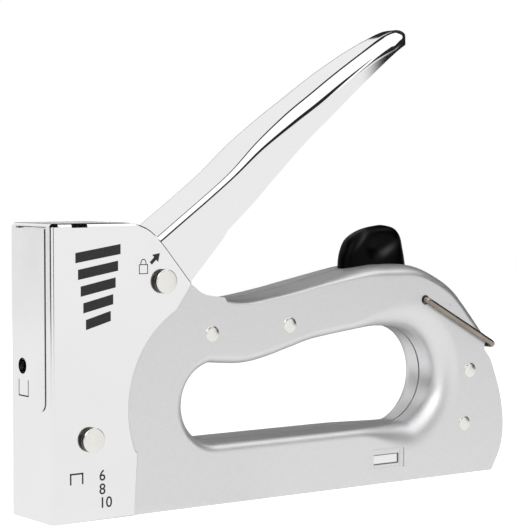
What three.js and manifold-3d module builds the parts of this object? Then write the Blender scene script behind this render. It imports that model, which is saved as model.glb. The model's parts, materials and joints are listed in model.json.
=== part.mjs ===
// A hand staple gun: a plated head casing, two pressed grip shells, a squeezed lever, a sprung striker
// and a staple drawer. Millimetres, +Z up, +X from the nose to the back, standing on Z = 0.
// Side profiles are drawn in the XZ plane with x = 0 on the nose; the exported group moves the origin
// to the middle of the base.
import * as THREE from "three";
import { mergeVertices } from "three/addons/utils/BufferGeometryUtils.js";
import Module from "manifold-3d";

const wasm = await Module();
wasm.setup();

// Driving dimensions.
const GAP = 0.3; // clearance between pieces that don't carry each other flat to flat
const HEAD = { halfWidth: 12.8, wall: 1, height: 91, bend: 1.6, roofEnd: 33 };
const NOSE_WINDOW = { half: 8, bottom: 34, corner: 3 };
const ROOF_SLOT = { x0: 7, x1: 12.5, width: 1.2 };
const SHELL = { wall: 1.2, crownReach: 7, edgeReach: 3, tuck: 4 };
const OPENING = { x: 61.5, span: 77.8, z: 32.6, r: 13.2, rearZ: 35.8, rearR: 17.1, floor: 19.4 };
// How far the back lies beyond the rear centre of the opening.
const HEEL = { bottom: 41.2, back: 46.9, notch: 40.7 };
const BASE_WINDOW = { beforeRear: 13.3, length: 11, z0: 6.5, z1: 10 };
const BASE_SLIT = { beyond: 2, width: 0.5, z0: 5, z1: 11.7 };
const PIVOT = { x: 40, z: 72.5, r: 2.9 };
const NOSE_PIN = { x: 13.5, z: 25, r: 2.6 };
const PIN_HEAD = { r: 3.8, proud: 2 };
const RIVET = { r: 1.6, head: 2.6, proud: 0.6, sleeve: 3.2, lowSleeve: 2.3 };
const LEVER = {
  wall: 1.2,
  tipHalf: 7.4,
  nose: { start: 0.935, share: 0.07 }, // shares of the length: where the tip rounds off, its ellipse
  flangeTaper: 12.6, // how much shallower the flanges would grow over the whole length
  stroke: 32,
  fingerDrop: 6,
  hub: 9,
};
const STRIKER = { blade: 1.2, wall: 1.2, floor: 34, floorWall: 2, top: 67.5, bossX: 12, bossR: 2 };
const SPRING = { x: 13.2, r: 5.3, wire: 1, turns: 8 };
const TOP_STOP = { depth: 4, spigot: 4 };
const BUFFER_LENGTH = 15;
const STAPLE = { crown: 13, leg: 10, wire: 0.8, z: 3, strip: 52 };
const MAGAZINE = { wall: 1, z: 1, end: 30.7, play: 0.5 };
const RAIL = { wall: 1, z: 1.6, end: 33 };
const PUSHER = { length: 10, rod: 1.2, rodZ: 7.4 };
const PUSHER_SPRING = { r: 2.9, wire: 0.35, turns: 20 };
const END_BLOCK = { length: 9.5, half: 8, leaf: 0.5 };
const RETURN_SPRING = { wire: 0.6, half: 6, turns: 5, leg: 22, legAngle: 42 };
const BAIL = { x: 9.7, z: 62.3, wire: 1, endX: 41.5, endZ: 45, hole: 1.7, inside: 2 };
const BUMPER = { front: -17, back: 7.3, half: 4.5, height: 88.2, round: 1.5 };
const PLATE_HOLE = { y: 5.5, z: 47, r: 2.5 };
const PLATE_TAB = { y0: 2, y1: 8.5, z0: 37.5, z1: 43, slit: 0.6 };

// What fits inside what, from the outside in.
const shellHalf = HEAD.halfWidth - HEAD.wall;
const shellInner = shellHalf - SHELL.wall;
const leverHalf = shellInner - GAP;
const leverInner = leverHalf - LEVER.wall;
const carrierHalf = leverInner - GAP;
const plateFront = HEAD.wall + GAP;
const bladeFront = plateFront + SHELL.wall + GAP;
const bladeBack = bladeFront + STRIKER.blade;
const magazineFront = bladeBack + GAP;
const roofUnder = HEAD.height - HEAD.wall;
const rearX = OPENING.x + OPENING.span;
const channelInner = STAPLE.crown / 2 + MAGAZINE.play;
const channelTop = STAPLE.z + STAPLE.leg + STAPLE.wire + GAP + MAGAZINE.wall;
const railHalf = STAPLE.crown / 2 - STAPLE.wire - GAP;
const railEnd = rearX + RAIL.end;
// The lever's fingers start as far below the pivot as they end above it.
const fingerAngle = THREE.MathUtils.degToRad(LEVER.stroke / 2);
const bossZ = PIVOT.z - (PIVOT.x - STRIKER.bossX) * Math.tan(fingerAngle);

const COLOURS = {
  plate: { color: 0xefeff0, roughness: 0.12, metalness: 1 },
  paint: { color: 0xd2d2d2, roughness: 0.45, metalness: 0.6 },
  nickel: { color: 0xe8e6dc, roughness: 0.3, metalness: 1 },
  steel: { color: 0x9c9a94, roughness: 0.35, metalness: 1 },
  wire: { color: 0xa89f94, roughness: 0.35, metalness: 1 },
  rubber: { color: 0x0a0a0a, roughness: 0.35, metalness: 0 },
};

// ---- Solid modelling helpers ----

function toSolid(geometry) {
  const bare = geometry.clone();
  for (const name of Object.keys(bare.attributes)) if (name !== "position") bare.deleteAttribute(name);
  const merged = mergeVertices(bare, 1e-4);
  const vertProperties = new Float32Array(merged.attributes.position.array);
  const solid = (order) => {
    const triVerts = new Uint32Array(merged.index.count);
    for (let i = 0; i < triVerts.length; i += 3)
      order.forEach((k, j) => (triVerts[i + j] = merged.index.getX(i + k)));
    return new wasm.Manifold(new wasm.Mesh({ numProp: 3, vertProperties, triVerts }));
  };
  const made = solid([0, 1, 2]);
  return made.volume() < 0 ? solid([0, 2, 1]) : made;
}

function toGeometry(solid) {
  const { vertProperties, triVerts, numProp } = solid.getMesh();
  const positions = new Float32Array((vertProperties.length / numProp) * 3);
  for (let i = 0; i < positions.length; i++)
    positions[i] = vertProperties[Math.floor(i / 3) * numProp + (i % 3)];
  const geometry = new THREE.BufferGeometry();
  geometry.setAttribute("position", new THREE.BufferAttribute(positions, 3));
  geometry.setIndex(new THREE.BufferAttribute(new Uint32Array(triVerts), 1));
  const faceted = geometry.toNonIndexed();
  faceted.computeVertexNormals();
  return faceted;
}

const joined = (first, ...others) =>
  toGeometry(others.reduce((solid, other) => solid.add(toSolid(other)), toSolid(first)));
const cut = (first, ...tools) =>
  toGeometry(tools.reduce((solid, tool) => solid.subtract(toSolid(tool)), toSolid(first)));
const common = (first, ...others) =>
  toGeometry(others.reduce((solid, other) => solid.intersect(toSolid(other)), toSolid(first)));

function box(x0, x1, y0, y1, z0, z1) {
  const geometry = new THREE.BoxGeometry(x1 - x0, y1 - y0, z1 - z0);
  return geometry.translate((x0 + x1) / 2, (y0 + y1) / 2, (z0 + z1) / 2);
}

// A side profile, drawn in x and z, as a slab from y0 to y1.
function slab(shape, y0, y1, steps = 6) {
  const options = { depth: y1 - y0, bevelEnabled: false, curveSegments: steps };
  return new THREE.ExtrudeGeometry(shape, options).rotateX(Math.PI / 2).translate(0, y1, 0);
}

// A cross-section, drawn in y and z, as a bar from x0 to x1.
function bar(shape, x0, x1, steps = 4) {
  const options = { depth: x1 - x0, bevelEnabled: false, curveSegments: steps };
  const turn = new THREE.Matrix4().set(0, 0, 1, x0, 1, 0, 0, 0, 0, 1, 0, 0, 0, 0, 0, 1);
  return new THREE.ExtrudeGeometry(shape, options).applyMatrix4(turn);
}

// A round bar across the tool, along Y.
const crossBar = (r, x, z, y0, y1, sides = 16) =>
  new THREE.CylinderGeometry(r, r, y1 - y0, sides).translate(x, (y0 + y1) / 2, z);

// A shape turned about a line along Y, from its (radius, y) profile.
function turnedAcross(profile, x, z, sides = 16) {
  const points = profile.map(([r, y]) => new THREE.Vector2(r, y));
  return new THREE.LatheGeometry(points, sides).translate(x, 0, z);
}

const ring = (inner, outer, half) => [
  [inner, -half],
  [outer, -half],
  [outer, half],
  [inner, half],
  [inner, -half],
];

function polygon(points) {
  return new THREE.Shape(points.map(([x, y]) => new THREE.Vector2(x, y)));
}

function circle(r) {
  return new THREE.Shape().absarc(0, 0, r, 0, 2 * Math.PI);
}

// A round wire along a curve.
function wireAlong(curve, r, steps, sides) {
  const options = { steps, extrudePath: curve, bevelEnabled: false, curveSegments: sides / 2 };
  return toGeometry(toSolid(new THREE.ExtrudeGeometry(circle(r), options)));
}

class Helix extends THREE.Curve {
  constructor(r, length, turns) {
    super();
    Object.assign(this, { r, length, turns });
  }
  getPoint(t, target = new THREE.Vector3()) {
    const angle = 2 * Math.PI * this.turns * t;
    return target.set(this.r * Math.cos(angle), this.r * Math.sin(angle), this.length * t);
  }
}

// A coil spring that stands on z = 0, its wire kept inside its length.
function coil({ r, wire, turns }, length, stepsPerTurn, sides) {
  const helix = new Helix(r, length - 2 * wire, turns);
  return wireAlong(helix, wire, turns * stepsPerTurn, sides).translate(0, 0, wire);
}

// Sections with the same number of points, joined into one closed skin with flat ends.
function loft(sections) {
  const count = sections[0].outline.length;
  const points = sections.flatMap(({ outline, place }) => outline.map(place));
  const triangles = [];
  for (let s = 0; s + 1 < sections.length; s++)
    for (let i = 0; i < count; i++) {
      const [a, b] = [s * count + i, s * count + ((i + 1) % count)];
      triangles.push([a, b, b + count], [a, b + count, a + count]);
    }
  const capOf = ({ outline }) => {
    const faces = THREE.ShapeUtils.triangulateShape(outline, []);
    const facesForward = THREE.ShapeUtils.area(faces[0].map((i) => outline[i])) > 0;
    return facesForward ? faces : faces.map(([a, b, c]) => [a, c, b]);
  };
  const ringForward = THREE.ShapeUtils.area(sections[0].outline) > 0;
  const last = (sections.length - 1) * count;
  for (const [a, b, c] of capOf(sections[0])) triangles.push(ringForward ? [a, c, b] : [a, b, c]);
  for (const [a, b, c] of capOf(sections.at(-1)))
    triangles.push((ringForward ? [a, b, c] : [a, c, b]).map((i) => i + last));
  return trianglesOf(points, triangles);
}

function trianglesOf(points, triangles) {
  const corners = triangles.flat().flatMap((i) => points[i].toArray());
  const geometry = new THREE.BufferGeometry();
  geometry.setAttribute("position", new THREE.BufferAttribute(new Float32Array(corners), 3));
  return toGeometry(toSolid(geometry));
}

// ---- Head casing and nose ----

const casingArc = { x: OPENING.x, z: 33, r: 34.3 };

function casingProfile() {
  const { x, z, r } = casingArc;
  const cheek = new THREE.Shape().moveTo(0, 0).lineTo(29, 0).lineTo(30.5, 19.5);
  cheek.absarc(x, z, r, THREE.MathUtils.degToRad(202), THREE.MathUtils.degToRad(119), true);
  cheek.lineTo(50, 70).lineTo(50.7, 71.5);
  cheek.splineThru([
    new THREE.Vector2(44, 79),
    new THREE.Vector2(38, 86.5),
    new THREE.Vector2(HEAD.roofEnd, HEAD.height - HEAD.bend),
  ]);
  return cheek.lineTo(HEAD.roofEnd - 1, HEAD.height).lineTo(0, HEAD.height);
}

// A rectangle from a to b along one way and from 0 to h along the other, with its two far corners round.
function roundTopped(a, b, h, r) {
  const shape = new THREE.Shape().moveTo(a, 0).lineTo(b, 0).lineTo(b, h - r);
  shape.absarc(b - r, h - r, r, 0, Math.PI / 2, false);
  return shape.lineTo(a + r, h).absarc(a + r, h - r, r, Math.PI / 2, Math.PI, false);
}

function headCasing() {
  const { halfWidth, wall, height, bend, roofEnd } = HEAD;
  const folded = common(
    slab(casingProfile(), -halfWidth, halfWidth),
    bar(roundTopped(-halfWidth, halfWidth, height, bend), -1, 60),
  );
  const hollow = box(wall, 60, -shellHalf, shellHalf, -1, roofUnder);
  const leverSlot = box(roofEnd, 60, -shellHalf, shellHalf, roofUnder - 1, height + 1);
  const { half, bottom, corner } = NOSE_WINDOW;
  const opening = roundTopped(-half, half, roofUnder - bottom, corner);
  const nosePort = bar(opening, -1, wall + GAP).rotateX(Math.PI).translate(0, 0, roofUnder);
  const slots = [-1, 1].map((side) => {
    const y = side * shellHalf;
    const w = ROOF_SLOT.width / 2;
    return box(ROOF_SLOT.x0, ROOF_SLOT.x1, y - w, y + w, roofUnder - 1, height + 1);
  });
  const pinHoles = [PIVOT, NOSE_PIN].map(({ x, z, r }) =>
    crossBar(r + GAP, x, z, -halfWidth - 1, halfWidth + 1),
  );
  return cut(folded, hollow, leverSlot, nosePort, ...slots, ...pinHoles);
}

function nosePlate() {
  const back = plateFront + SHELL.wall;
  const half = shellHalf - SHELL.wall;
  const plate = box(plateFront, back, -half, half, MAGAZINE.z, roofUnder - GAP);
  const { y, z, r } = PLATE_HOLE;
  const hole = new THREE.CylinderGeometry(r, r, 10, 16).rotateZ(Math.PI / 2).translate(2, y, z);
  const { y0, y1, z0, z1, slit } = PLATE_TAB;
  return cut(
    plate,
    hole,
    box(plateFront - 1, back + 1, y0, y0 + slit, z0, z1),
    box(plateFront - 1, back + 1, y1 - slit, y1, z0, z1),
    box(plateFront - 1, back + 1, y0, y1, z0, z0 + slit),
  );
}

// A headed pin through both cheeks of the casing.
function headedPin({ x, z, r }) {
  const { halfWidth } = HEAD;
  const end = halfWidth + PIN_HEAD.proud;
  const half = [
    [r, halfWidth],
    [PIN_HEAD.r, halfWidth],
    [PIN_HEAD.r, end - 0.4],
    [PIN_HEAD.r - 0.4, end],
    [0, end],
  ];
  const mirrored = half.map(([radius, y]) => [radius, -y]).reverse();
  return turnedAcross([...mirrored, ...half], x, z);
}

// ---- Grip shells ----

const grip = (share, z) => new THREE.Vector2(OPENING.x + share * OPENING.span, z);
const rear = (beyond, z) => new THREE.Vector2(rearX + beyond, z);
const at = (x, z) => new THREE.Vector2(x, z);

// The grip's top line, from the back notch to the lever slot.
const crest = new THREE.SplineCurve([
  rear(40, 48.8),
  rear(35, 54.8),
  rear(25, 65.4),
  rear(15.8, 71),
  rear(6.7, 74.2),
  grip(0.94, 74.8),
  grip(0.8, 74.1),
  grip(0.53, 70),
  grip(0.4, 68),
  grip(0.2, 65.6),
  grip(0.109, 65.4),
  grip(0.048, 66.3),
]);

const chain = (...points) => points.slice(1).map((end, i) => new THREE.LineCurve(points[i], end));
const arc = (x, z, r, from, to) =>
  new THREE.EllipseCurve(
    x,
    z,
    r,
    r,
    THREE.MathUtils.degToRad(from),
    THREE.MathUtils.degToRad(to),
    to < from,
  );

// Points along a stretch of edge, its last point left to the next stretch. A turned edge curls in to
// the seam between the shells: depth is how far its bend reaches down the side, and reach is how far it
// reaches across. A bare edge has neither.
function stretch(curve, steps, turn = null) {
  return Array.from({ length: steps }, (_, i) => {
    const point = curve.getPointAt(i / steps);
    return { x: point.x, z: point.y, ...(turn ? turn(i / steps) : {}) };
  });
}

function outerEdge() {
  const { x, z, r } = casingArc;
  const hidden = r + SHELL.tuck;
  const front = 25;
  const heel = new THREE.SplineCurve([
    rear(HEEL.bottom, 0),
    rear(HEEL.back - 1.2, 8),
    rear(HEEL.back, 17),
    rear(HEEL.back - 1.7, 28),
    rear(HEEL.notch, 40),
  ]);
  const seat = HEEL.notch - 3;
  const notch = chain(heel.getPoint(1), rear(seat, 43.5), rear(seat, 45.2), crest.getPoint(0));
  const slot = new THREE.SplineCurve([at(64, 66.4), at(58, 67.3), at(55, 68.3), at(50.7, 71.5)]);
  const crown = (t) => ({
    depth: THREE.MathUtils.lerp(4, 1.6, THREE.MathUtils.smoothstep(t, 0.4, 0.75)),
    reach: SHELL.crownReach,
  });
  return [
    { x: front, z: 0 },
    ...stretch(heel, 12),
    ...notch.flatMap((line) => stretch(line, 1)),
    ...stretch(crest, 30, crown),
    { x: crest.getPoint(1).x, z: crest.getPoint(1).y, ...crown(1) },
    ...stretch(slot, 6),
    { x: 50.7, z: 71.5 },
    { x: 45, z: 69 },
    ...stretch(arc(x, z, hidden, 126, 197), 8),
    { x: front, z: 20 },
  ];
}

function openingEdge() {
  const { x, z, r, rearZ, rearR, floor } = OPENING;
  const narrow = { depth: 3, reach: SHELL.edgeReach };
  const wide = { depth: 9, reach: SHELL.crownReach };
  const blend = (t) => ({
    depth: THREE.MathUtils.lerp(narrow.depth, wide.depth, t),
    reach: THREE.MathUtils.lerp(narrow.reach, wide.reach, t),
  });
  const front = arc(x, z, r, 270, 101);
  const back = arc(rearX, rearZ, rearR, 80, -74);
  const narrowed = rear(-20, floor);
  const roof = new THREE.SplineCurve([
    front.getPoint(1),
    grip(0.13, 44.7),
    grip(0.26, 46.2),
    grip(0.39, 48.8),
    grip(0.52, 51.2),
    grip(0.78, 53.6),
    grip(0.9, 53.8),
    back.getPoint(0),
  ]);
  return [
    ...stretch(front, 12, () => narrow),
    ...stretch(roof, 14, (t) => blend(THREE.MathUtils.smoothstep(t, 0.7, 1))),
    ...stretch(back, 12, () => wide),
    ...stretch(new THREE.LineCurve(back.getPoint(1), narrowed), 5, (t) =>
      blend(1 - THREE.MathUtils.smoothstep(t, 0, 1)),
    ),
    { x: narrowed.x, z: narrowed.y, ...narrow },
  ];
}

const BEND_STEPS = 3;

// The outer and inner faces of an edge, as [distance in from the edge, distance from the seam].
function edgeSection({ depth, reach }) {
  const { wall } = SHELL;
  const steps = Array.from({ length: BEND_STEPS + 2 }, (_, k) => k);
  if (!depth)
    return {
      outer: steps.map((k) => [0, shellHalf - 0.4 * wall * (1 - k / (BEND_STEPS + 1))]),
      inner: steps.map((k) => [0, shellInner + 0.4 * wall * (1 - k / (BEND_STEPS + 1))]),
    };
  const flat = shellHalf - reach;
  const face = (inset) =>
    steps.map((k) => {
      if (!k) return [inset, 0];
      const angle = ((k - 1) / BEND_STEPS) * (Math.PI / 2);
      return [
        depth - (depth - inset) * Math.cos(angle),
        flat + (reach - inset) * Math.sin(angle),
      ];
    });
  return { outer: face(0), inner: face(wall) };
}

// One pressed half: a flat side with its edges turned in. Each loop runs with the metal on its left.
function pressedShell(loops) {
  const points = [];
  const triangles = [];
  const quad = (a, b, c, d) => triangles.push([a, b, c], [a, c, d]);
  const rims = loops.map((loop) => {
    const columns = loop.map((station, i) => {
      const before = loop.at(i - 1);
      const after = loop[(i + 1) % loop.length];
      const tangent = at(after.x - before.x, after.z - before.z).normalize();
      const { outer, inner } = edgeSection(station);
      const index = ([inward, across]) =>
        points.push(
          new THREE.Vector3(
            station.x - tangent.y * inward,
            -across,
            station.z + tangent.x * inward,
          ),
        ) - 1;
      return { outer: outer.map(index), inner: inner.map(index) };
    });
    columns.forEach(({ outer, inner }, i) => {
      const next = columns[(i + 1) % columns.length];
      quad(inner[0], next.inner[0], next.outer[0], outer[0]);
      for (let k = 0; k <= BEND_STEPS; k++) {
        quad(outer[k], next.outer[k], next.outer[k + 1], outer[k + 1]);
        quad(next.inner[k], inner[k], inner[k + 1], next.inner[k + 1]);
      }
    });
    return columns;
  });
  const flat = rims.map((columns) =>
    columns.map(({ outer }) => at(points[outer.at(-1)].x, points[outer.at(-1)].z)),
  );
  const corners = flat.flat();
  const rim = rims.flat();
  for (const face of THREE.ShapeUtils.triangulateShape(flat[0], flat.slice(1))) {
    const [a, b, c] =
      THREE.ShapeUtils.area(face.map((i) => corners[i])) > 0 ? face : [...face].reverse();
    triangles.push([a, b, c].map((i) => rim[i].outer.at(-1)));
    triangles.push([a, c, b].map((i) => rim[i].inner.at(-1)));
  }
  return trianglesOf(points, triangles);
}

const RIVETS = {
  grip_rivet_front: { x: 59, z: 55, sleeve: RIVET.sleeve },
  grip_rivet_rear: { x: OPENING.x + 0.366 * OPENING.span, z: 56.3, sleeve: RIVET.sleeve },
  back_rivet_upper: { x: rearX + 30.7, z: 36.5, sleeve: RIVET.sleeve },
  back_rivet_lower: { x: rearX + 28.2, z: 17.7, sleeve: RIVET.lowSleeve },
};

function gripShell() {
  const through = (r, x, z) => crossBar(r, x, z, -shellHalf - 1, -shellInner + 1, 12);
  const { beforeRear, length, z0, z1 } = BASE_WINDOW;
  const start = rearX - beforeRear;
  const slit = start + length + BASE_SLIT.beyond;
  return cut(
    pressedShell([outerEdge(), openingEdge()]),
    ...Object.values(RIVETS).map((rivet) => through(RIVET.r + GAP, rivet.x, rivet.z)),
    through(BAIL.hole, rearX + BAIL.x, BAIL.z),
    box(start, start + length, -shellHalf - 1, -shellInner + 1, z0, z1),
    box(slit, slit + BASE_SLIT.width, -shellHalf - 1, -shellInner + 1, BASE_SLIT.z0, BASE_SLIT.z1),
  );
}

function mirroredAcross(geometry) {
  return toGeometry(toSolid(geometry).mirror([0, 1, 0]));
}

function rivet({ x, z }) {
  const { r, head, proud } = RIVET;
  const half = [
    [r, shellHalf],
    [head, shellHalf],
    [head, shellHalf + proud / 2],
    [head - 0.5, shellHalf + proud],
    [0, shellHalf + proud],
  ];
  const mirrored = half.map(([radius, y]) => [radius, -y]).reverse();
  return turnedAcross([...mirrored, ...half], x, z, 12);
}

const rivetSleeve = ({ x, z, sleeve }) =>
  turnedAcross(ring(RIVET.r + GAP, sleeve, shellInner), x, z, 12);

// ---- Lever ----

const spine = new THREE.SplineCurve([
  at(36, 83.2),
  at(49, 92.4),
  at(60, 100.2),
  at(69, 107),
  at(79.5, 116.2),
  at(92, 125.6),
  at(102, 132.3),
  at(112, 139),
  at(122, 145.2),
  at(132, 151),
  at(139, 154.5),
  at(143.4, 155.8),
  at(146.8, 155.3),
  at(148.5, 153.4),
]);

// The lever's cross-section at a share of its length: a channel, open below, with round corners.
// Its flanges grow shallower towards the tip, which is round seen from above.
function channelSection(share) {
  const { smoothstep, lerp } = THREE.MathUtils;
  const { wall, nose } = LEVER;
  const tip = Math.sqrt(1 - (Math.max(0, share - nose.start) / nose.share) ** 2);
  const narrow = Math.min(Math.max(0, share - 0.6) / (nose.start - 0.6), 1.15);
  const half = lerp(leverHalf, LEVER.tipHalf, narrow ** 2) * tip;
  const shallower = LEVER.flangeTaper * Math.max(0, share - 0.4);
  const depth = (lerp(15, 12.3, smoothstep(share, 0, 0.4)) - shallower) * lerp(0.6, 1, tip);
  const bend = Math.min(lerp(2, 4.5, smoothstep(share, 0.25, 0.6)), 0.8 * half);
  const side = (inset) => {
    const corner = [0, 1, 2, 3].map((k) => {
      const angle = (k / 3) * (Math.PI / 2);
      const r = bend - inset;
      return [half - bend + r * Math.cos(angle), bend - r * Math.sin(angle)];
    });
    return [[half - inset, depth], ...corner];
  };
  const outer = side(0);
  const inner = side(wall);
  const flip = ([y, down]) => [-y, down];
  return [...outer, ...outer.map(flip).reverse(), ...inner.map(flip), ...inner.reverse()].map(
    ([y, down]) => at(y, down),
  );
}

function leverChannel() {
  const steps = 28;
  const sections = Array.from({ length: steps + 1 }, (_, i) => {
    const share = 1 - (1 - i / steps) ** 1.6;
    const point = spine.getPointAt(share);
    const tangent = spine.getTangentAt(share);
    return {
      outline: channelSection(share),
      place: ({ x: y, y: down }) =>
        new THREE.Vector3(point.x + tangent.y * down, y, point.y - tangent.x * down),
    };
  });
  return loft(sections);
}

// The side plates carry the pivot, and run on to the fingers that lift the striker.
function leverCheek() {
  const toBoss = new THREE.Vector2(-Math.cos(fingerAngle), -Math.sin(fingerAngle));
  const up = new THREE.Vector2(-toBoss.y, toBoss.x).negate();
  const spot = (along, above) => [
    PIVOT.x + toBoss.x * along + up.x * above,
    PIVOT.z + toBoss.y * along + up.y * above,
  ];
  const reach = (PIVOT.x - STRIKER.bossX) / Math.cos(fingerAngle);
  const top = -STRIKER.bossR - GAP;
  const finger = polygon([
    spot(0, top),
    spot(reach + 2, top),
    spot(reach + 3, top - LEVER.fingerDrop / 2),
    spot(reach, top - LEVER.fingerDrop),
    spot(0, top - LEVER.fingerDrop),
  ]);
  const arm = polygon([
    [PIVOT.x - 2, PIVOT.z + 11],
    [PIVOT.x - LEVER.hub, PIVOT.z],
    [PIVOT.x, PIVOT.z - LEVER.hub],
    [PIVOT.x + 9, PIVOT.z - 4.5],
    [PIVOT.x + 12.5, PIVOT.z],
    [PIVOT.x + 24.5, PIVOT.z + 12.8],
    [PIVOT.x + 30, PIVOT.z + 21],
    [PIVOT.x + 19.5, PIVOT.z + 24],
    [PIVOT.x + 5, PIVOT.z + 13.5],
  ]);
  return joined(
    slab(arm, leverInner, leverHalf),
    slab(finger, leverInner, leverHalf),
    crossBar(LEVER.hub, PIVOT.x, PIVOT.z, leverInner, leverHalf, 20),
  );
}

function lever() {
  const cheek = leverCheek();
  const solid = joined(leverChannel(), cheek, mirroredAcross(cheek));
  return cut(solid, crossBar(PIVOT.r + GAP, PIVOT.x, PIVOT.z, -leverHalf - 1, leverHalf + 1));
}

const sleeveInner = PIVOT.r + GAP;
const sleeveOuter = sleeveInner + LEVER.wall;

function pivotSleeve() {
  return turnedAcross(ring(sleeveInner, sleeveOuter, carrierHalf), PIVOT.x, PIVOT.z);
}

// A torsion coil round the pivot sleeve, with a leg that lies under the lever's spine.
function leverReturnSpring() {
  const { wire, half, turns, leg } = RETURN_SPRING;
  const r = sleeveOuter + 2 * GAP + wire;
  const legAngle = THREE.MathUtils.degToRad(RETURN_SPRING.legAngle);
  const winding = coil({ r, wire, turns }, 2 * half, 12, 6);
  winding.rotateX(Math.PI / 2).translate(0, half, 0);
  const start = new THREE.Vector3(r, half - wire, 0);
  const legEnd = start.clone();
  legEnd.add(new THREE.Vector3(leg * Math.cos(legAngle), 0, leg * Math.sin(legAngle)));
  const straight = wireAlong(new THREE.LineCurve3(start, legEnd), wire, 1, 6);
  return joined(winding, straight).translate(PIVOT.x, 0, PIVOT.z);
}

// ---- Striker ----

function strikerCarrier() {
  const { wall, floor, floorWall, top, bossX, bossR } = STRIKER;
  const back = SPRING.x + SPRING.r + SPRING.wire + 1;
  const inner = carrierHalf - wall;
  const cradle = cut(
    box(bladeBack, back, -carrierHalf, carrierHalf, floor, top),
    box(bladeBack + wall, back + 1, -inner, inner, floor + floorWall, top + 1),
  );
  return joined(cradle, ...[-1, 1].map((side) => {
    const [y0, y1] = [side * inner, side * leverHalf].sort((a, b) => a - b);
    return crossBar(bossR, bossX, bossZ, y0, y1, 12);
  }));
}

function strikerBlade() {
  const half = STAPLE.crown / 2 - GAP;
  return box(bladeFront, bladeBack, -half, half, 0.8, bossZ - 4.5);
}

function strikerBuffer() {
  const half = BUFFER_LENGTH / 2;
  const bottom = NOSE_PIN.z + NOSE_PIN.r + GAP;
  const across = carrierHalf + 1;
  return box(NOSE_PIN.x - half, NOSE_PIN.x + half, -across, across, bottom, STRIKER.floor - GAP);
}

const springFoot = STRIKER.floor + STRIKER.floorWall + GAP;
const springHead = roofUnder - GAP - TOP_STOP.depth;

function springTopStop() {
  const spigotR = SPRING.r - SPRING.wire - 2 * GAP;
  const block = box(
    bladeBack + GAP,
    2 * SPRING.x - bladeBack - GAP,
    -carrierHalf,
    carrierHalf,
    springHead,
    springHead + TOP_STOP.depth,
  );
  const spigot = new THREE.CylinderGeometry(spigotR, spigotR, TOP_STOP.spigot + 1, 12);
  spigot.rotateX(Math.PI / 2).translate(SPRING.x, 0, springHead + 0.5 - TOP_STOP.spigot / 2);
  return joined(block, spigot);
}

function mainSpring() {
  const length = springHead - springFoot - GAP;
  return coil(SPRING, length, 12, 6).translate(SPRING.x, 0, springFoot);
}

// ---- Staple drawer ----

// A channel along X: three walls round an open side.
function channelBar(x0, x1, innerHalf, wall, z0, z1, openBelow) {
  const outer = box(x0, x1, -innerHalf - wall, innerHalf + wall, z0, z1);
  const [low, high] = openBelow ? [z0 - 1, z1 - wall] : [z0 + wall, z1 + 1];
  return cut(outer, box(x0 - 1, x1 + 1, -innerHalf, innerHalf, low, high));
}

const stripEnd = magazineFront + GAP + STAPLE.strip;
const pusherStart = stripEnd + GAP;
const pusherEnd = pusherStart + PUSHER.length;
const crownUnder = STAPLE.z + STAPLE.leg;

function magazineChannel() {
  const end = rearX + MAGAZINE.end;
  return channelBar(magazineFront, end, channelInner, MAGAZINE.wall, MAGAZINE.z, channelTop, true);
}

function stapleRail() {
  const inner = railHalf - RAIL.wall;
  return channelBar(magazineFront, railEnd, inner, RAIL.wall, RAIL.z, crownUnder - GAP, false);
}

function stapleStrip() {
  const inner = STAPLE.crown / 2 - STAPLE.wire;
  const top = crownUnder + STAPLE.wire;
  return channelBar(magazineFront + GAP, stripEnd, inner, STAPLE.wire, STAPLE.z, top, true);
}

const rodAlong = (r, x0, x1) =>
  new THREE.CylinderGeometry(r, r, x1 - x0, 8)
    .rotateZ(Math.PI / 2)
    .translate((x0 + x1) / 2, 0, PUSHER.rodZ);

function staplePusher() {
  const tongue = railHalf - RAIL.wall - GAP;
  const half = STAPLE.crown / 2;
  const body = joined(
    box(pusherStart, pusherEnd, -tongue, tongue, RAIL.z + RAIL.wall + GAP, crownUnder + 0.4),
    box(pusherStart, pusherEnd, -half, half, crownUnder, crownUnder + STAPLE.wire),
  );
  return cut(body, rodAlong(PUSHER.rod + GAP, pusherStart - 1, pusherEnd + 1));
}

function pusherSpring() {
  const length = railEnd - pusherEnd - 2 * GAP;
  return coil(PUSHER_SPRING, length, 8, 4)
    .rotateY(Math.PI / 2)
    .translate(pusherEnd + GAP, 0, PUSHER.rodZ);
}

function drawerEndBlock() {
  const { length, half } = END_BLOCK;
  return box(railEnd, railEnd + length, -half, half, RAIL.z, crownUnder + STAPLE.wire);
}

// A bowed strip on the side of the end block, which rubs on the shell and holds the drawer in.
function drawerLeaf() {
  const { length, half, leaf } = END_BLOCK;
  const crown = shellInner - GAP - half;
  const bow = new THREE.Shape().moveTo(0, 0).quadraticCurveTo(length / 2, 2 * crown, length, 0);
  bow.lineTo(length - 1, 0).quadraticCurveTo(length / 2, 2 * (crown - leaf), 1, 0);
  const options = { depth: 5, bevelEnabled: false, curveSegments: 6 };
  return new THREE.ExtrudeGeometry(bow, options).translate(railEnd, half, RAIL.z + 4);
}

// ---- Bail and bumper ----

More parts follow.
